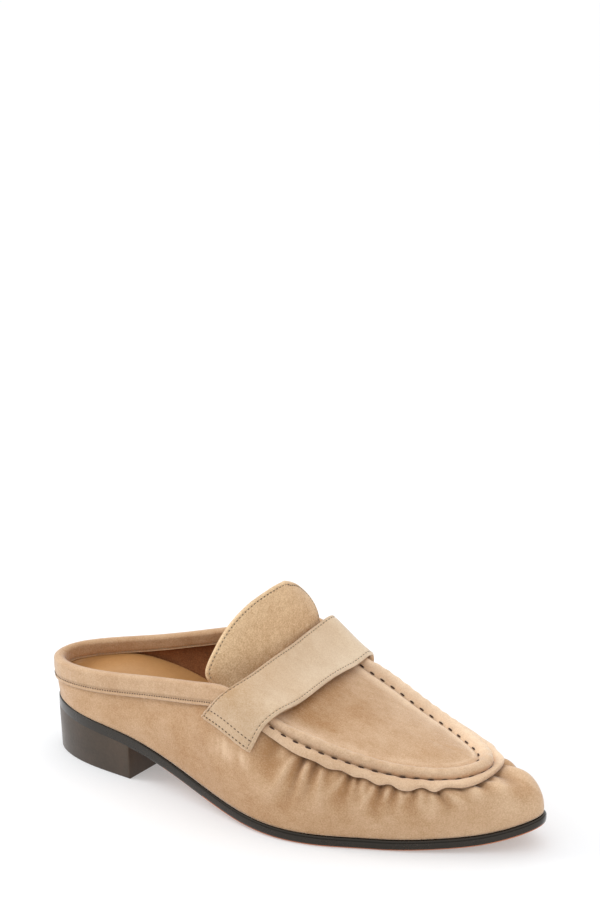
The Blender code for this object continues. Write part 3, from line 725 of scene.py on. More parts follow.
def sewn(points, normals, pitch, length, width, sink, centred=False):
    """A row of small rounded marks along a line: one is modelled, and copied."""
    pick()
    bpy.ops.mesh.primitive_uv_sphere_add(segments=8, ring_count=5, radius=0.5)
    pattern = bpy.context.active_object
    editing(pattern,
            lambda: bpy.ops.transform.rotate(value=radians(90.0), orient_axis="Y",
                                             center_override=(0.0, 0.0, 0.0)),
            lambda: bpy.ops.transform.resize(value=(length, width, width * 0.9)))
    points = dense(points)
    run = run_of(points)
    first = run[len(points) // 2] % pitch if centred else 0.0
    at = np.interp(np.arange(first, run[-1], pitch), run, np.arange(len(points)))
    ahead = (along_line(points, np.minimum(at + 0.5, len(points) - 1.001))
             - along_line(points, np.maximum(at - 0.5, 0.0)))
    copies = []
    for spot, up, go in zip(along_line(points, at), along_line(dense(normals), at), ahead):
        go = Vector(go).normalized()
        up = Vector(up)
        up = (up - go * up.dot(go)).normalized()
        turned = Matrix((go, up.cross(go), up)).transposed().to_4x4()
        turned.translation = Vector(spot + SHIFT) - up * sink
        copy = pattern.copy()
        copy.data = pattern.data.copy()
        copy.data.transform(turned)
        bpy.context.collection.objects.link(copy)
        copies.append(copy)
    bpy.data.objects.remove(pattern, do_unlink=True)
    pick(*copies)
    bpy.ops.object.join()
    smooth(bpy.context.active_object)
    return bpy.context.active_object


def joined(name, rows, slot, thread):
    """Rows of stitches as one piece."""
    pick(*rows)
    bpy.ops.object.join()
    piece = named(name)
    piece.data.materials.clear()
    dress(piece, slot, [], thread)


# Finishes
def group(name, inputs, outputs):
    """Shader group, what its start puts out and what its end takes in."""
    made = bpy.data.node_groups.new(name, "ShaderNodeTree")
    for label, kind, value in inputs:
        socket = made.interface.new_socket(name=label, in_out="INPUT", socket_type=kind)
        socket.default_value = value
    for label, kind in outputs:
        made.interface.new_socket(name=label, in_out="OUTPUT", socket_type=kind)
    return made, made.nodes.new("NodeGroupInput").outputs, made.nodes.new("NodeGroupOutput").inputs


def feed(tree, socket, value):
    """Sets a socket to a constant, or links it."""
    if isinstance(value, (int, float, tuple)):
        socket.default_value = value
    else:
        tree.links.new(value, socket)


def noise(tree, spot, scale, detail, roughness):
    made = tree.nodes.new("ShaderNodeTexNoise")
    for label, value in (("Vector", spot), ("Scale", scale), ("Detail", detail),
                         ("Roughness", roughness)):
        feed(tree, made.inputs[label], value)
    return made.outputs["Fac"]


def ranged(tree, value, low, high, to_low=0.0, to_high=1.0):
    made = tree.nodes.new("ShaderNodeMapRange")
    for label, given in (("Value", value), ("From Min", low), ("From Max", high),
                         ("To Min", to_low), ("To Max", to_high)):
        feed(tree, made.inputs[label], given)
    return made.outputs["Result"]


def counted(tree, operation, *values):
    made = tree.nodes.new("ShaderNodeMath")
    made.operation = operation
    for socket, value in zip(made.inputs, values):
        feed(tree, socket, value)
    return made.outputs["Value"]


def times(tree, first, second):
    return counted(tree, "MULTIPLY", first, second)


def plus(tree, first, second):
    return counted(tree, "ADD", first, second)


def mixed(tree, share, first, second):
    made = tree.nodes.new("ShaderNodeMix")
    made.data_type = "RGBA"
    for socket, value in zip((0, 6, 7), (share, first, second)):
        feed(tree, made.inputs[socket], value)
    return made.outputs[2]


def object_spot(tree):
    return tree.nodes.new("ShaderNodeTexCoord").outputs["Object"]


def nap_group():
    """Brushed nap: blotches a thumb wide, strokes of a few millimetres, and the fibres."""
    made, start, end = group("nap", (
        ("Light", "NodeSocketColor", (0.6, 0.45, 0.3, 1.0)),
        ("Deep", "NodeSocketColor", (0.5, 0.35, 0.2, 1.0)),
        ("Blotch", "NodeSocketFloat", 0.5),
        ("Stroke", "NodeSocketFloat", 0.4),
        ("Speck", "NodeSocketFloat", 0.5),
        # painted share added to the nap: nap marks, and painted light and shade
        ("Lay", "NodeSocketFloat", 0.0),
    ), (("Color", "NodeSocketColor"), ("Height", "NodeSocketFloat")))
    spot = object_spot(made)
    stretch = made.nodes.new("ShaderNodeMapping")
    stretch.inputs["Scale"].default_value = (0.55, 1.0, 1.15)
    stretch.inputs["Rotation"].default_value = (0.0, radians(18.0), radians(12.0))
    made.links.new(spot, stretch.inputs["Vector"])
    blotch = noise(made, spot, 55.0, 3.0, 0.55)
    stroke = noise(made, stretch.outputs["Vector"], 300.0, 4.0, 0.62)
    fibre = noise(made, spot, 1500.0, 2.0, 0.7)
    pile = noise(made, spot, 3600.0, 2.0, 0.6)
    patterns = ((blotch, 0.5, "Blotch"), (stroke, 0.5, "Stroke"), (fibre, 1.0, "Speck"))
    wide, fine, hair = [times(made, ranged(made, pattern, 0.30, 0.70, -reach, reach), start[label])
                        for pattern, reach, label in patterns]
    share = plus(made, plus(made, wide, fine), plus(made, hair, start["Lay"]))
    tone = mixed(made, ranged(made, share, -1.2, 0.8, -0.7, 1.3), start["Light"], start["Deep"])
    tone.node.clamp_factor = False
    made.links.new(tone, end["Color"])
    height = plus(made, times(made, fibre, 0.7), times(made, pile, 0.4))
    made.links.new(plus(made, height, times(made, stroke, 0.6)), end["Height"])
    return made


def grain_group():
    """Fine leather grain: cells of about a millimetre with soft valleys, and slow toning."""
    made, start, end = group("grain", (
        ("Light", "NodeSocketColor", (0.6, 0.45, 0.3, 1.0)),
        ("Deep", "NodeSocketColor", (0.5, 0.35, 0.2, 1.0)),
        ("Cell", "NodeSocketFloat", 900.0),
    ), (("Color", "NodeSocketColor"), ("Height", "NodeSocketFloat"), ("Rub", "NodeSocketFloat")))
    spot = object_spot(made)
    cells = made.nodes.new("ShaderNodeTexVoronoi")
    made.links.new(spot, cells.inputs["Vector"])
    made.links.new(start["Cell"], cells.inputs["Scale"])
    tone = noise(made, spot, 42.0, 4.0, 0.6)
    speck = noise(made, spot, 700.0, 3.0, 0.6)
    share = plus(made, times(made, ranged(made, tone, 0.3, 0.7), 0.75),
                 times(made, ranged(made, speck, 0.3, 0.7), 0.25))
    made.links.new(mixed(made, share, start["Light"], start["Deep"]), end["Color"])
    valleys = ranged(made, cells.outputs["Distance"], 0.0, 0.6)
    made.links.new(plus(made, valleys, times(made, speck, 0.4)), end["Height"])
    made.links.new(share, end["Rub"])
    return made


def finish(name, settings):
    made = bpy.data.materials.new(name)
    made.use_nodes = True
    shader = made.node_tree.nodes["Principled BSDF"]
    for key, value in settings.items():
        shader.inputs[key].default_value = value
    return made, made.node_tree, shader


def patterned(tree, pattern, light, deep, **values):
    """A shader group in a material, its inputs set or linked."""
    use = tree.nodes.new("ShaderNodeGroup")
    use.node_tree = pattern
    for label, value in (("Light", (*light, 1.0)), ("Deep", (*deep, 1.0)), *values.items()):
        feed(tree, use.inputs[label], value)
    return use.outputs


def painted(tree, label):
    layer = tree.nodes.new("ShaderNodeAttribute")
    layer.attribute_name = label
    return layer.outputs["Fac"]


def bumped(tree, shader, height, distance, strength):
    bump = tree.nodes.new("ShaderNodeBump")
    for label, value in (("Distance", distance), ("Strength", strength), ("Height", height)):
        feed(tree, bump.inputs[label], value)
    tree.links.new(bump.outputs["Normal"], shader.inputs["Normal"])


def suede(name, light, deep, blotch, stroke, speck):
    """Matte brushed suede: a painted share of nap marks and painted light and shade tones its nap,
    and the painted seam share darkens it with painted shade.
    """
    made, tree, shader = finish(name, {"Roughness": 0.92, "Specular IOR Level": 0.15,
                                       "Sheen Weight": 0.60, "Sheen Roughness": 0.35})
    look = patterned(tree, nap, light, deep, Blotch=blotch, Stroke=stroke, Speck=speck,
                     Lay=painted(tree, "lay"))
    color = mixed(tree, painted(tree, "seam"), look["Color"], SEAM_SHADE)
    tree.links.new(color, shader.inputs["Base Color"])
    bumped(tree, shader, look["Height"], 0.0005, 0.6)
    return made


def leather(name, light, deep, cell, depth, rough, **settings):
    """Smooth leather with a fine grain, duller where the grain is rubbed."""
    made, tree, shader = finish(name, {key.replace("_", " "): settings[key] for key in settings})
    look = patterned(tree, grain, light, deep, Cell=cell)
    tree.links.new(look["Color"], shader.inputs["Base Color"])
    tree.links.new(ranged(tree, look["Rub"], 0.0, 1.0, *rough), shader.inputs["Roughness"])
    bumped(tree, shader, look["Height"], depth, 0.5)
    return made


def thread_finish(name, light, deep):
    made, tree, shader = finish(name, {"Roughness": 0.75})
    twist = noise(tree, object_spot(tree), 3000.0, 2.0, 0.5)
    tree.links.new(mixed(tree, twist, (*light, 1.0), (*deep, 1.0)), shader.inputs["Base Color"])
    return made


# Where the heel back lies in the frame
sole_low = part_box("outsole")[0]
rim = inset_outline(np.linspace(0.0, 2.0 * pi, 2881), 0.0)
SHIFT = np.array([sole_low[0] - rim[:, 0].min(), sole_low[1] - rim[:, 1].min(), 0.0])

nap = nap_group()
grain = grain_group()
# the pieces are one sand suede; the copies differ in tone partly as painted light: the apron, strap
# and tongue copies are lighter than the wall's, standing in for the light and sheen on them
wall_suede = suede("wall_suede", (0.710, 0.475, 0.290), (0.545, 0.318, 0.163), 0.5, 0.35, 0.50)
apron_suede = suede("apron_suede_nap", (0.840, 0.610, 0.415), (0.520, 0.300, 0.150),
                   0.35, 0.22, 0.22)
strap_suede = suede("strap_suede_nap", (0.850, 0.670, 0.480), (0.620, 0.415, 0.245),
                   0.35, 0.22, 0.25)
tongue_suede = suede("tongue_suede_nap", (0.950, 0.690, 0.425), (0.590, 0.345, 0.170),
                    0.35, 0.30, 0.40)
binding_suede = suede("binding_suede_nap", (0.710, 0.490, 0.310), (0.540, 0.325, 0.180),
                     0.4, 0.35, 0.45)
lining = suede("lining", (0.330, 0.130, 0.050), (0.200, 0.072, 0.026), 0.5, 0.5, 0.5)
insole_leather = leather("insole_calf", (0.520, 0.275, 0.105), (0.420, 0.205, 0.068), 1100.0,
                         0.00010, (0.38, 0.52), Coat_Weight=0.10, Coat_Roughness=0.35,
                         Specular_IOR_Level=0.4)
edge_gloss = leather("edge_gloss", (0.014, 0.010, 0.007), (0.008, 0.006, 0.004), 600.0,
                     0.00004, (0.22, 0.34), Coat_Weight=0.50, Coat_Roughness=0.08,
                     Specular_IOR_Level=0.25, Specular_Tint=(1.0, 0.86, 0.68, 1.0))
heel_satin = leather("heel_satin", (0.078, 0.050, 0.033), (0.036, 0.024, 0.016), 500.0,
                     0.00004, (0.30, 0.42), Coat_Weight=0.22, Coat_Roughness=0.24,
                     Specular_IOR_Level=0.40, Specular_Tint=(1.0, 0.88, 0.74, 1.0))
under_leather = leather("under_leather", (0.420, 0.235, 0.140), (0.320, 0.165, 0.095), 700.0,
                        0.0001, (0.40, 0.60), Specular_IOR_Level=0.4)
bare_line = leather("bare_line", (0.640, 0.210, 0.090), (0.460, 0.140, 0.055), 700.0,
                    0.0001, (0.40, 0.60), Specular_IOR_Level=0.4)
pale_thread = thread_finish("pale_thread", (0.52, 0.40, 0.27), (0.38, 0.28, 0.18))
grey_thread = thread_finish("grey_thread", (0.27, 0.20, 0.135), (0.16, 0.115, 0.075))
# the seam thread is dark partly as painted shade in its grooves; the needle-hole marks are painted
# shade in the holes between stitches
shaded_seam_thread = thread_finish("shaded_seam_thread", (0.075, 0.030, 0.014), (0.040, 0.017, 0.008))
needle_hole_shade = thread_finish("needle_hole_shade", (0.150, 0.088, 0.050), (0.085, 0.048, 0.026))

# Lengths along the seam of the apron
seam_loops = np.linspace(0.0, 2.0 * pi, 4001)
seam_run = run_of(topline(seam_loops))
toe_run = float(np.interp(pi, seam_loops, seam_run))
flange_width = by_along(FLANGE_EDGE, 1)


def seam_distance(loop):
    """Distance along the seam from the toe, the outer side negative."""
    return np.interp(np.mod(loop, 2.0 * pi), seam_loops, seam_run) - toe_run


def even_loops(first, last, count, share, front=1.0):
    """Positions round the shoe at even distances along the wall, closer together in front."""
    loops = np.linspace(first, last, 3001)
    run = run_of(wall(loops, share))
    weight = 1.0 + (front - 1.0) * ramp(share_along(loops), 0.46, 0.10)
    run = np.concatenate([[0.0], np.cumsum(np.diff(run) * (weight[1:] + weight[:-1]) / 2.0)])
    return np.interp(np.linspace(0.0, run[-1], count), run, loops)


def pleat_relief(seam, drop):
    """Height off the wall of the gathered leather under the flange, and the shade in its folds."""
    trough = np.zeros_like(seam)
    puff = np.zeros_like(seam)
    shade = np.zeros_like(seam)
    for top, start, foot, stop, depth, narrow, broad in PLEATS:
        share = np.clip((drop - start) / (1.15 * (stop - start)), -0.5, 1.6)
        inside = np.clip(share, 0.0, 1.0)
        middle = top + (foot - top) * inside
        middle = middle + 0.0009 * np.sin(2.4 * pi * inside + top * 900.0) * inside
        half = 1.1 * narrow + 1.25 * (broad - narrow) * inside
        fade = np.clip(1.0 - inside, 0.0, 1.0) ** 0.85 * ramp(share, -0.5, 0.4)
        reach = (seam - middle) / half
        trough = np.maximum(trough, 1.25 * depth * np.exp(-0.95 * reach ** 2) * fade)
        puff += 0.60 * depth * bell(np.abs(reach), 1.9, 0.75) * fade
        shade = np.maximum(shade, depth / 0.0024 * bell(reach, 0.0, 0.45) * fade ** 2.0)
    return puff * ramp(drop, 0.0058, 0.0030) - trough, shade


def build_upper():
    """Wall of the upper with its pleats, a soft hollow or two, and its lining inside."""
    loops = even_loops(0.0, 2.0 * pi, 660, 0.5, 2.0)
    levels = 1.0 - (1.0 - np.linspace(0.0, 1.0, 64)) ** 1.35
    where, up = np.meshgrid(loops, levels, indexing="ij")
    plain = wall(where, up)
    steps = np.linalg.norm(np.diff(plain, axis=1), axis=-1)
    climb = np.concatenate([np.zeros((len(loops), 1)), np.cumsum(steps, axis=1)], axis=1)
    drop = climb[:, -1:] - climb
    seam = seam_distance(where)
    relief, shade = pleat_relief(seam, drop)
    theta, side = fold(where)
    along = share_along(theta)
    # slow hollows of worn-in leather, small next to the wall
    arch = np.sin(up * pi)
    relief += 0.00030 * np.sin(along * 61.0 + side * 1.3 + up * 4.0) * arch * (along > 0.15)
    relief += 0.00020 * np.sin(along * 23.0 - up * 9.0 + 2.0 * side) * arch
    shown = relief * ramp(drop, 0.0, 0.0015) * ramp(up, 0.0, 0.08)
    grid = plain + surface_normal(wall, where, up) * shown[..., None]
    grid[-1] = grid[0]
    # the flange throws a narrow shade on the wall, in front only
    front = ramp(along, APRON_REAR, 0.01)
    edge = flange_width(np.clip(seam, -0.13, 0.13))
    shade = 0.75 * shade + 0.55 * bell(drop, edge, 0.0009) * front
    # a brushed patch with upright strokes beside the strap, and fainter strokes further on
    strokes = (0.60 + 0.25 * np.sin(seam * 1250.0 + drop * 180.0 + 1.5 * np.sin(seam * 310.0))
               + 0.25 * np.sin(seam * 520.0 - drop * 90.0))
    lay = -1.7 * bell(seam, -0.1405, 0.0065) * bell(drop, 0.0275, 0.0055) * strokes
    lay -= 1.1 * bell(seam, -0.1270, 0.0050) * bell(drop, 0.0250, 0.0050) * strokes
    # painted shade and light: darker in the pleat troughs and lighter on the puffs, a little darker
    # in the band below the flange in front, darker round the middle of the wall and lighter towards
    # the toe
    lay += front * np.clip(-relief / 0.0016, -0.65, 0.50)
    lay += 0.15 * ramp(drop, 0.006, 0.004) * ramp(drop, 0.026, -0.010) * front
    lay += 0.30 * bell(along, 0.40, 0.14) - 0.50 * ramp(along, 0.72, 0.2)
    piece = laid("upper_leather", grid.transpose(1, 0, 2), closed=True)
    # both materials have to be there before the lining's faces are made
    piece.data.materials.append(wall_suede)
    piece.data.materials.append(lining)
    faces_point(piece, lambda spot: (0.0, spot[1] - SHIFT[1], 0.2))
    finished(piece, "SOLIDIFY", thickness=UPPER_WALL, offset=-1.0, material_offset=1)
    paint(piece, grid, seam=np.clip(shade, 0.0, 1.0), lay=lay)
    smooth(piece)
    dress(piece, "suede", ["upper"], wall_suede, lining)


def build_apron():
    """Plate, bead and flange: one leather rolled over the seam and pressed into the stitches."""
    outer = np.linspace(float(turn(APRON_REAR)), pi, 3001)
    run = run_of(topline(outer))
    thetas = np.interp(np.linspace(0.0, run[-1], 190), run, outer)
    loops = np.concatenate([thetas, 2.0 * pi - thetas[:-1][::-1]])
    theta, side = fold(loops)
    seam = seam_distance(loops)
    along = share_along(theta)
    press = ramp(along, 0.56, 0.06)
    height = BEAD_HEIGHT * (0.55 + 0.45 * press * press * (3.0 - 2.0 * press))
    pull = 0.5 + 0.5 * np.cos(2.0 * pi * seam / SEAM_PITCH)
    width = flange_width(seam)
    lines = []
    for kind, distance, lift in SEAM_SECTION:
        if kind == "flange":
            lines.append(on_wall(loops, distance * width, lift - 0.0003 * pull * (distance < 0.3)))
        else:
            squeeze = 1.0 - 0.09 * pull * (distance < 0.7)
            line, inward = on_deck(loops, distance * BEAD_WIDTH, lift * height * squeeze)
            lines.append(line)
    for share in (0.06, 0.14, 0.24, 0.36, 0.49, 0.62, 0.75, 0.87, 0.95, 1.0):
        lines.append(deck(loops, inward + (1.0 - inward) * share))
    lines = np.array(lines)
    knots = np.arange(len(lines), dtype=float)
    seams = len(SEAM_SECTION) - 1
    fine = np.concatenate([np.arange(0.0, seams, 0.25), np.linspace(seams, len(lines) - 1.0, 31)])
    grid = np.array([[spline(knots, lines[:, k, axis])(fine) for axis in range(3)]
                     for k in range(len(loops))]).transpose(2, 0, 1)
    # slow waves over the plate
    rows = fine[:, None]
    across = ramp(rows, seams, 9.0)
    grid[..., 2] += 0.00022 * np.sin(across * pi) * np.sin(along * 40.0 + side * 1.7)[None, :]
    # shade in the stitched grooves at both feet of the bead, and under the flange's edge
    groove = bell(rows, 7.4, 0.55) * (0.45 + 0.35 * pull)[None, :]
    inner = bell(rows, 15.1, 0.6) * (0.20 + 0.25 * pull)[None, :]
    under = 0.7 * bell(rows, 0.0, 0.9)
    # painted shade and sheen: the plate is darker ahead of the strap on the outer half, fading
    # towards the toe, partly the strap's shadow and partly the lie of the nap; the bead, the flange
    # and the whole inner side are lighter, painted sheen
    plate = ramp(rows, seams, 3.0)
    facing = np.clip(-2.2 * np.sin(loops), -1.0, 1.0)
    inner_side = 0.5 + 0.5 * (facing * (1.0 - across))
    near = ramp(along, 0.74, -0.22)[None, :] * (1.0 - 0.65 * inner_side)
    lay = plate * (0.85 * near + 0.10) - 0.20 * (1.0 - plate)
    lay = lay - 0.60 * ramp(inner_side, 0.5, 0.5) * (1.0 - 0.4 * plate)
    piece = laid("apron_leather", grid, closed=True)
    faces_point(piece, lambda spot: (0.0, 0.0, 1.0))
    finished(piece, "SOLIDIFY", thickness=APRON_SKIN, offset=-1.0)
    paint(piece, grid, seam=np.clip(groove + inner + under, 0.0, 1.0), lay=lay)
    smooth(piece)
    dress(piece, "apron_suede", ["apron"], apron_suede)
    # each stitch goes through the bead: a dash at its outer foot and one at its inner foot
    ups = surface_normal(wall, loops, 1.0) * 0.8 + UPRIGHT * 0.7
    foot, inward = on_deck(loops, 1.05 * BEAD_WIDTH, 0.0002)
    over = surface_normal(deck, loops, inward)
    # the dashes are dark, partly painted shade in the grooves they lie in
    joined("seam_stitches", [
        sewn(on_wall(loops, 0.0007, 0.0013), ups, SEAM_PITCH, 0.0032, 0.00125, 0.0, centred=True),
        sewn(foot, over, SEAM_PITCH, 0.0029, 0.00100, 0.0, centred=True),
    ], "apron_suede", shaded_seam_thread)


def strap_grid(shares, lifts, columns):
    """Face of the strap, rows across its width and columns along it."""
    run = run_of(strap_points(0.5, 0.0))
    at = np.linspace(0.0, run[-1], columns)
    lines = []
    for share, lift in zip(shares, lifts):
        points = strap_points(share, lift)
        lines.append(np.stack([spline(run, points[:, k])(at) for k in range(3)], axis=1))
    return np.array(lines)


def grid_normals(grid, row, column, axis, order):
    """Unit normals of a grid, turned so that the one named points up its axis."""
    first, second = order
    normal = unit(np.cross(np.gradient(grid, axis=first), np.gradient(grid, axis=second)))
    return -normal if normal[row, column, axis] < 0.0 else normal


def build_strap():
    """Strap with turned edges, a pressed line under each row of stitches and soft ends."""
    edge = np.array([0.0, 0.0002, 0.0006, 0.0011, 0.0015, 0.0018, 0.0021, 0.0025, 0.0031, 0.0043])
    edge = edge / STRAP_WIDTH
    inner = np.linspace(edge[-1], 1.0 - edge[-1], 20)[1:-1]
    shares = np.concatenate([edge, inner, 1.0 - edge[::-1]])
    near = np.minimum(shares, 1.0 - shares) * STRAP_WIDTH
    lift = (STRAP_THICKNESS + 0.0002 - 0.0010 * np.exp(-(near / 0.0005) ** 1.3)
            - 0.00040 * bell(near, STRAP_SIDE_ROW, 0.00038))
    lift += 0.00014 * bell(near, 0.0009, 0.0005)
    grid = strap_grid(shares, lift, 240)
    middle = len(shares) // 2
    length = run_of(grid[middle])
    total = length[-1]
    from_end = np.minimum(length, total - length)
    normal = grid_normals(grid, middle, 120, 2, (1, 0))
    dip = -0.0008 * np.exp(-(from_end / 0.0005) ** 1.3)
    for row in STRAP_END_ROWS:
        dip -= 0.00034 * bell(from_end, row, 0.0005)
    wave = 0.00022 * np.sin(length * 150.0)[None, :] * np.sin(shares * pi)[:, None]
    grid = grid + normal * (dip[None, :] + wave)[..., None]
    # painted sheen and light on the nap: lighter from the outer end over to the inner side, and
    # lighter from the rear edge to the front edge
    lay = (0.35 - 0.95 * length / total)[None, :] + 0.18 * np.cos(shares * pi)[:, None]
    piece = laid("strap_leather", grid)
    faces_point(piece, lambda spot: (0.0, spot[1] * 0.5, 1.0))
    finished(piece, "SOLIDIFY", thickness=STRAP_THICKNESS - 0.0002, offset=-1.0)
    # painted shade in the pressed line under each side row of stitches
    paint(piece, grid, seam=0.10 * bell(near, STRAP_SIDE_ROW, 0.00040)[:, None], lay=lay)
    smooth(piece, 50.0)
    dress(piece, "strap_suede", ["strap"], strap_suede)
    # a row of stitches along both edges and two rows across each end; the end rows are dark
    # needle-hole marks, painted shade in the holes
    first = int(np.argmin(np.abs(shares - STRAP_SIDE_ROW / STRAP_WIDTH)))
    last = len(shares) - 1 - first
    sides = [sewn(grid[k, 4:-4], normal[k, 4:-4],
                  STRAP_PITCH, STRAP_PITCH * 0.48, 0.00056, -0.00004) for k in (first, last)]
    near_row, far_row = STRAP_END_ROWS
    ends = []
    for spot in (near_row, far_row, total - far_row, total - near_row):
        k = int(np.argmin(np.abs(length - spot)))
        ends.append(sewn(grid[first:last + 1, k], normal[first:last + 1, k],
                         STRAP_PITCH, STRAP_PITCH * 0.56, 0.00070, -0.00002))
    joined("strap_side_stitches", sides, "strap_suede", grey_thread)
    joined("strap_end_stitches", ends, "strap_suede", needle_hole_shade)


def build_binding():
    """Rolled collar band: a puffed top roll, flat sides, cut lower edges and sewn rows."""
    outer_end, inner_end = BINDING_ENDS
    loops = even_loops(-float(turn(inner_end)), float(turn(outer_end)), 420, 0.98)
    clear = 1.7 * GAP
    outer = clear + BINDING_LEATHER
    inner = -UPPER_WALL - outer
    middle = (outer + inner) / 2.0
    reach = (outer - inner) / 2.0
    depth = BINDING_DEPTH
    inner_row = BINDING_INSIDE - 0.0010
    # drop below the top edge and height off the wall, up the outside, over the roll and down inside
    section = [(depth, clear), (depth + 0.0001, outer * 0.62), (depth - 0.0002, outer * 0.96)]
    for drop in (0.0082, 0.0077, 0.0073, 0.0070, 0.0067, 0.0062, 0.0052, 0.0038, 0.0025, 0.0012):
        sink = 0.00022 * bell(drop, BINDING_ROW, 0.00045)
        section.append((drop, outer - sink + 0.00030 * bell(drop, 0.0030, 0.0024)))
    for angle in np.radians(np.linspace(10.0, 170.0, 15)):
        section.append((-BINDING_ROLL * sin(angle), middle + (reach + 0.00025) * cos(angle)))
    for drop in (0.0012, 0.0025, 0.0036, 0.0044, 0.0048, 0.0052, 0.0056, 0.0060):
        sink = 0.00036 * bell(drop, inner_row, 0.00040)
        section.append((drop, inner + sink - 0.00022 * bell(drop, 0.0026, 0.0018)))
    section += [(BINDING_INSIDE, inner + 0.0004), (BINDING_INSIDE, -UPPER_WALL - clear),
                (-clear, -UPPER_WALL - clear), (-clear, clear)]
    section += section[:1]
    edge = wall(loops, 1.0)
    rising = unit(edge - wall(loops, 0.99))
    normal = surface_normal(wall, loops, 0.99)
    run = run_of(edge)
    pucker = (0.00006 * np.sin(run * 2.0 * pi / 0.0046)
              + 0.00018 * np.sin(run * 2.0 * pi / 0.0171 + 1.0))
    lines = []
    for drop, off in section:
        puff = pucker * bell(drop, 0.0030, 0.0035) * (1.0 if off > middle else -1.0)
        if drop > 0.0:
            lines.append(on_wall(loops, drop, off + puff))
        else:
            lines.append(edge - rising * drop + normal * (off + puff)[:, None])
    grid = np.array(lines)
    drops, offs = np.array(section).T
    # painted shade along both rows of stitches; the lower cut edges are darker as well
    tone = 0.12 * bell(drops, BINDING_ROW, 0.0004) * (offs > 0.0)
    tone += 0.12 * bell(drops, inner_row, 0.0004) * (offs < middle)
    tone += 0.35 * (drops >= depth) + 0.40 * (drops == BINDING_INSIDE)
    piece = laid("collar_roll", grid, closed=True)
    closed_up(piece, bpy.ops.mesh.fill)
    # the inner face of the band is darker, painted shade inside the collar
    paint(piece, grid, seam=np.clip(tone, 0.0, 1.0)[:, None],
          lay=np.where(offs < middle, 0.25, -0.10)[:, None])
    smooth(piece, 60.0)
    dress(piece, "binding_suede", ["collar_binding"], binding_suede)
    up = surface_normal(wall, loops, 0.9)
    outside = sewn(on_wall(loops, BINDING_ROW, outer - 0.00006), up,
                   BINDING_PITCH, BINDING_PITCH * 0.50, 0.00060, 0.0)
    inside = sewn(on_wall(loops, inner_row, inner + 0.00022), -up,
                  BINDING_PITCH, BINDING_PITCH * 0.64, 0.00050, 0.00002)
    # the outside row is dark needle-hole marks, painted shade in the holes
    joined("collar_stitches_outside", [outside], "binding_suede", needle_hole_shade)
    joined("collar_stitches_inside", [inside], "binding_suede", pale_thread)


def tongue_face(share, across):
    """Middle face of the tongue at a share up it and a place across it from -1 to 1."""
    rows = np.array(TONGUE)
    at = share * (len(rows) - 1.0)
    along, off, rise, outer_half, inner_half, outer_sweep, inner_sweep, droop = [
        spline(np.arange(len(rows)), rows[:, k])(at) for k in range(8)]
    width = np.where(across < 0.0, outer_half, inner_half) * BALL_WIDTH * across
    sweep = np.where(across < 0.0, outer_sweep, inner_sweep)
    bend = np.abs(across) ** 2.2
    return place(along * LENGTH - sweep * bend + tan(TONGUE_TURN) * width,
                 off * BALL_WIDTH + width,
                 sole_top(0.5 * LENGTH) + rise * WALL_HEIGHT - droop * bend)


def build_tongue():
    """Standing tongue with a folded edge and one row of stitches round it."""
    count = 100
    shares = 1.0 - (1.0 - np.linspace(0.0, 1.0, count)) ** 1.3
    across = np.sin(np.linspace(-pi / 2.0, pi / 2.0, 91))
    where, over = np.meshgrid(shares, across, indexing="ij")
    grid = tongue_face(where, over)
    normal = grid_normals(grid, 10, 45, 0, (0, 1))
    # near the narrow tip the normals of the full width are kept
    normal = normal[np.minimum(np.arange(count), int(count * 0.72))]
    rim = np.concatenate([grid[:, 0], grid[-1, 1:-1], grid[::-1, -1]])
    rim = nearest(along_line(rim, np.linspace(0.0, len(rim) - 1.001, len(rim) * 6)))
    far = np.array([rim.find(spot)[2] for spot in grid.reshape(-1, 3)]).reshape(grid.shape[:2])
    thick = TONGUE_LEATHER * (1.0 - np.exp(-(far / 0.0006) ** 1.3))
    thick = thick * np.clip(where * 60.0, 0.0, 1.0)
    press = 0.00038 * bell(far, TONGUE_ROW, 0.00045)
    wave = 0.00045 * np.sin(where * 9.0 + over * 3.0) * (1.0 - np.abs(over) ** 2)
    middle = grid + normal * (wave - TONGUE_LEATHER / 2.0)[..., None]
    grid = middle + normal * (thick / 2.0 - press)[..., None]
    back = middle - normal * (thick / 2.0)[..., None]
    # painted shade in the pressed stitch line; painted shade and light on the nap: darker at the
    # foot by the strap, lighter up to the top and along the rim, a little darker on the inner side
    tone = 0.12 * bell(far, TONGUE_ROW, 0.0005)
    lay = 0.45 - 0.85 * where + 0.10 * over - 0.15 * np.exp(-far / 0.0012)
    ring = np.concatenate([grid, back[:, ::-1]], axis=1)
    piece = laid("tongue_leather", ring, closed=True)
    outwards(piece)
    paint(piece, ring, seam=np.concatenate([tone, tone[:, ::-1]], axis=1),
          lay=np.concatenate([lay, lay[:, ::-1]], axis=1))
    smooth(piece)
    dress(piece, "tongue_suede", ["tongue"], tongue_suede)
    # the row of stitches follows the rim from above the strap, a little way in
    keep = 26
    line = np.concatenate([grid[keep:, 0], grid[-1, 1:-1], grid[keep:, -1][::-1]])
    heart = grid[60, 45]
    faces = nearest(grid.reshape(-1, 3))
    flat = normal.reshape(-1, 3)
    inset, ups = [], []
    for spot, go in zip(line, unit(np.gradient(line, axis=0))):
        way = np.cross(go, flat[faces.find(spot)[1]])
        if np.dot(way, heart - spot) < 0.0:
            way = -way
        goal = np.array(Vector(spot + way / np.linalg.norm(way) * TONGUE_ROW))
        near, k = faces.find(goal)[:2]
        inset.append(np.array(near) + 0.3 * (goal - np.array(near)))
        ups.append(flat[k])
    inset = np.array(inset)
    for again in range(4):
        inset[1:-1] = (inset[:-2] + inset[1:-1] * 2.0 + inset[2:]) / 4.0
    row = sewn(inset, np.array(ups), TONGUE_PITCH, TONGUE_PITCH * 0.50, 0.00060, -0.00024)
    joined("tongue_stitches", [row], "tongue_suede", grey_thread)


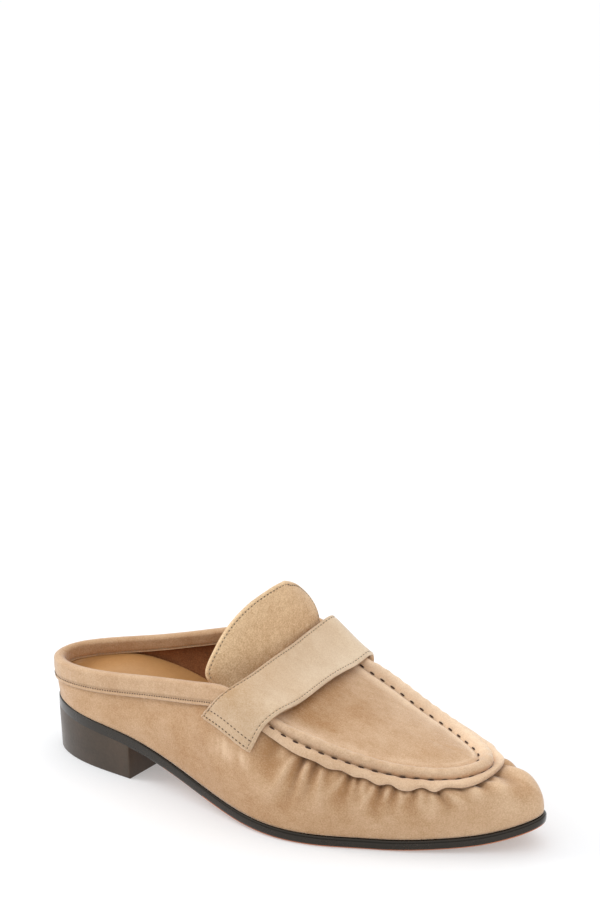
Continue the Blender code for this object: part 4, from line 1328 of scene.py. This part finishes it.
def build_outsole():
    """Thin sole with a rounded, glossed edge and a leather underside."""
    loops = even_loops(0.0, 2.0 * pi, 420, 0.0)
    rounding = 0.10 + 0.90 * np.clip(share_along(fold(loops)[0]) * 2.2 - 0.50, 0.0, 1.0)
    rings = []
    # edge of the sole from its underside to its top: inset and height, shares of its thickness
    for inset, height in ((0.36, 0.00), (0.22, 0.012), (0.11, 0.07), (0.03, 0.18), (0.0, 0.34),
                          (0.0, 0.52), (0.0, 0.70), (0.03, 0.82), (0.09, 0.92), (0.16, 0.975),
                          (0.26, 1.00)):
        line = inset_outline(loops, inset * SOLE_THICKNESS * rounding)
        line[:, 2] = underside(line[:, 0]) + height * SOLE_THICKNESS
        rings.append(line)
    # the lowest and the highest ring are drawn in to the middle line
    shares = (1.0, 0.8, 0.6, 0.4, 0.2, 0.08, 0.0)
    piece = ringed("sole_leather_edge", drawn_in(rings[0], shares) + rings[1:-1]
                   + drawn_in(rings[-1], shares[::-1]))
    for surface in (edge_gloss, under_leather, bare_line):
        piece.data.materials.append(surface)
    # bare leather underneath, and a fine bare line along the lower edge of the forepart
    for face in piece.data.polygons:
        x = face.center.x - SHIFT[0]
        rise = (face.center.z - float(underside(x))) / SOLE_THICKNESS
        if face.normal.z < -0.80 and rise < 0.05:
            face.material_index = 1
        elif face.normal.z < -0.30 and rise < 0.20 and x > HEEL_LENGTH + 0.02:
            face.material_index = 2
    smooth(piece)
    dress(piece, "sole_leather", ["outsole"], edge_gloss, under_leather, bare_line)


def build_heel():
    """Heel block with softened edges, its breast turned a little."""
    sides = []
    for side, half in ((-1.0, lateral_half), (1.0, medial_half)):
        offset = tan(BREAST_TURN) * side * float(half(turn(HEEL_LENGTH / LENGTH))) * BALL_WIDTH
        theta = turn((HEEL_LENGTH + offset) / LENGTH) * np.linspace(0.0, 1.0, 60)
        sides.append(theta if side < 0.0 else 2.0 * pi - theta)
    loops = np.concatenate([sides[0][::-1], sides[1][1:]])
    across = np.linspace(0.0, 1.0, 14)[1:, None]
    rings = []
    for inset, level in ((HEEL_TAPER, 0.0), (HEEL_TAPER * 0.5, 0.5), (0.0, 1.0)):
        ring = inset_outline(loops, inset)
        ring = np.concatenate([ring, ring[-1] + (ring[0] - ring[-1]) * across])
        ring[:, 2] = (underside(ring[:, 0]) + HEEL_IN_SOLE) * level
        rings.append(ring)
    piece = laid("heel_block", np.array(rings), closed=True)
    closed_up(piece, bpy.ops.mesh.edge_face_add)
    finished(piece, "BEVEL", width=0.0005, segments=3, limit_method="ANGLE",
             angle_limit=radians(40.0))
    smooth(piece, 35.0)
    dress(piece, "heel_stack", ["heel"], heel_satin)


def build_insole():
    """Sock of tan leather over the raised footbed, a little dished under the heel."""
    loops = even_loops(0.0, 2.0 * pi, 260, 0.0)
    x = inset_outline(loops, FEATHER_INSET + UPPER_WALL)[:, 0]
    thick = INSOLE_THICKNESS + np.maximum(pad_share(x / LENGTH), 0.0) * HEEL_PAD
    # distance in from the lining (in clearances), share of the thickness, and height past it
    levels = ((4.5, 0.0, 0.0), (3.0, 0.15, 0.0), (3.0, 0.90, 0.0),
              (3.2, 1.0, 0.0004), (4.5, 1.0, 0.0009), (7.0, 1.0, 0.0006))
    rings = [inside_wall(loops, x, GAP + share * thick + more, clear * GAP)
             for clear, share, more in levels]
    lines = drawn_in(rings[0], (1.0, 0.5, 0.0)) + rings[1:-1]
    shares = (0.0, 0.06, 0.14, 0.25, 0.38, 0.52, 0.68, 0.84, 1.0)
    for share, line in zip(shares, drawn_in(rings[-1], shares)):
        back = np.clip(1.0 - line[:, 0] / 0.14, 0.0, 1.0)
        line[:, 2] -= (1.0 - (1.0 - share) ** 2) * (0.0006 + 0.0016 * back)
        lines.append(line)
    piece = ringed("insole_sock", lines)
    smooth(piece)
    dress(piece, "insole_leather", ["insole"], insole_leather)


build_upper()
build_apron()
build_strap()
build_binding()
build_tongue()
build_outsole()
build_heel()
build_insole()

# Floor, light and camera
pick()
bpy.ops.mesh.primitive_plane_add(size=40.0, location=(0.0, 0.0, 0.0))
floor = named("studio_floor")
floor.data.materials.append(finish("floor_paper", {
    "Roughness": 0.9, "Base Color": (0.71, 0.72, 0.735, 1.0), "Specular IOR Level": 0.1,
    "Emission Color": (1.0, 1.0, 1.0, 1.0), "Emission Strength": 0.30})[0])

key = bpy.data.lights.new("key_box", "AREA")
key.shape = "RECTANGLE"
key.size = key.size_y = KEY_SIZE
key.energy = KEY_POWER
key_box = bpy.data.objects.new("key_box", key)
bpy.context.scene.collection.objects.link(key_box)
key_box.location = KEY_SPOT
key_box.rotation_euler = (Vector(KEY_AIM) - Vector(KEY_SPOT)).to_track_quat("-Z", "Y").to_euler()


def light_tent():
    """World that shines from all round, strongest overhead and a little more from behind."""
    made = bpy.data.worlds.new("light_tent")
    made.use_nodes = True
    tree = made.node_tree
    split = tree.nodes.new("ShaderNodeSeparateXYZ")
    way = tree.nodes.new("ShaderNodeTexCoord").outputs["Generated"]
    tree.links.new(way, split.inputs["Vector"])
    overhead = counted(tree, "MULTIPLY_ADD", split.outputs["Z"], 1.05, 0.30)
    behind = times(tree, split.outputs["Y"], 0.15)
    shine = counted(tree, "MAXIMUM", plus(tree, overhead, behind), 0.05)
    tree.links.new(shine, tree.nodes["Background"].inputs["Strength"])
    tree.nodes["Background"].inputs["Color"].default_value = (1.0, 1.0, 1.0, 1.0)
    return made


bpy.context.scene.world = light_tent()
bpy.context.scene.view_settings.view_transform = "Standard"

view = bpy.data.cameras.new("photo_view")
view.sensor_fit = "VERTICAL"
view.sensor_height = 36.0
view.lens = 78.1267
view.clip_start = 0.01
camera = bpy.data.objects.new("photo_view", view)
camera.location = (0.56919 + SHIFT[0], -0.80068 + SHIFT[1], 0.44279)
camera.rotation_euler = (radians(90.0 - 16.6286), 0.0, radians(28.1965))
bpy.context.scene.collection.objects.link(camera)
bpy.context.scene.camera = camera
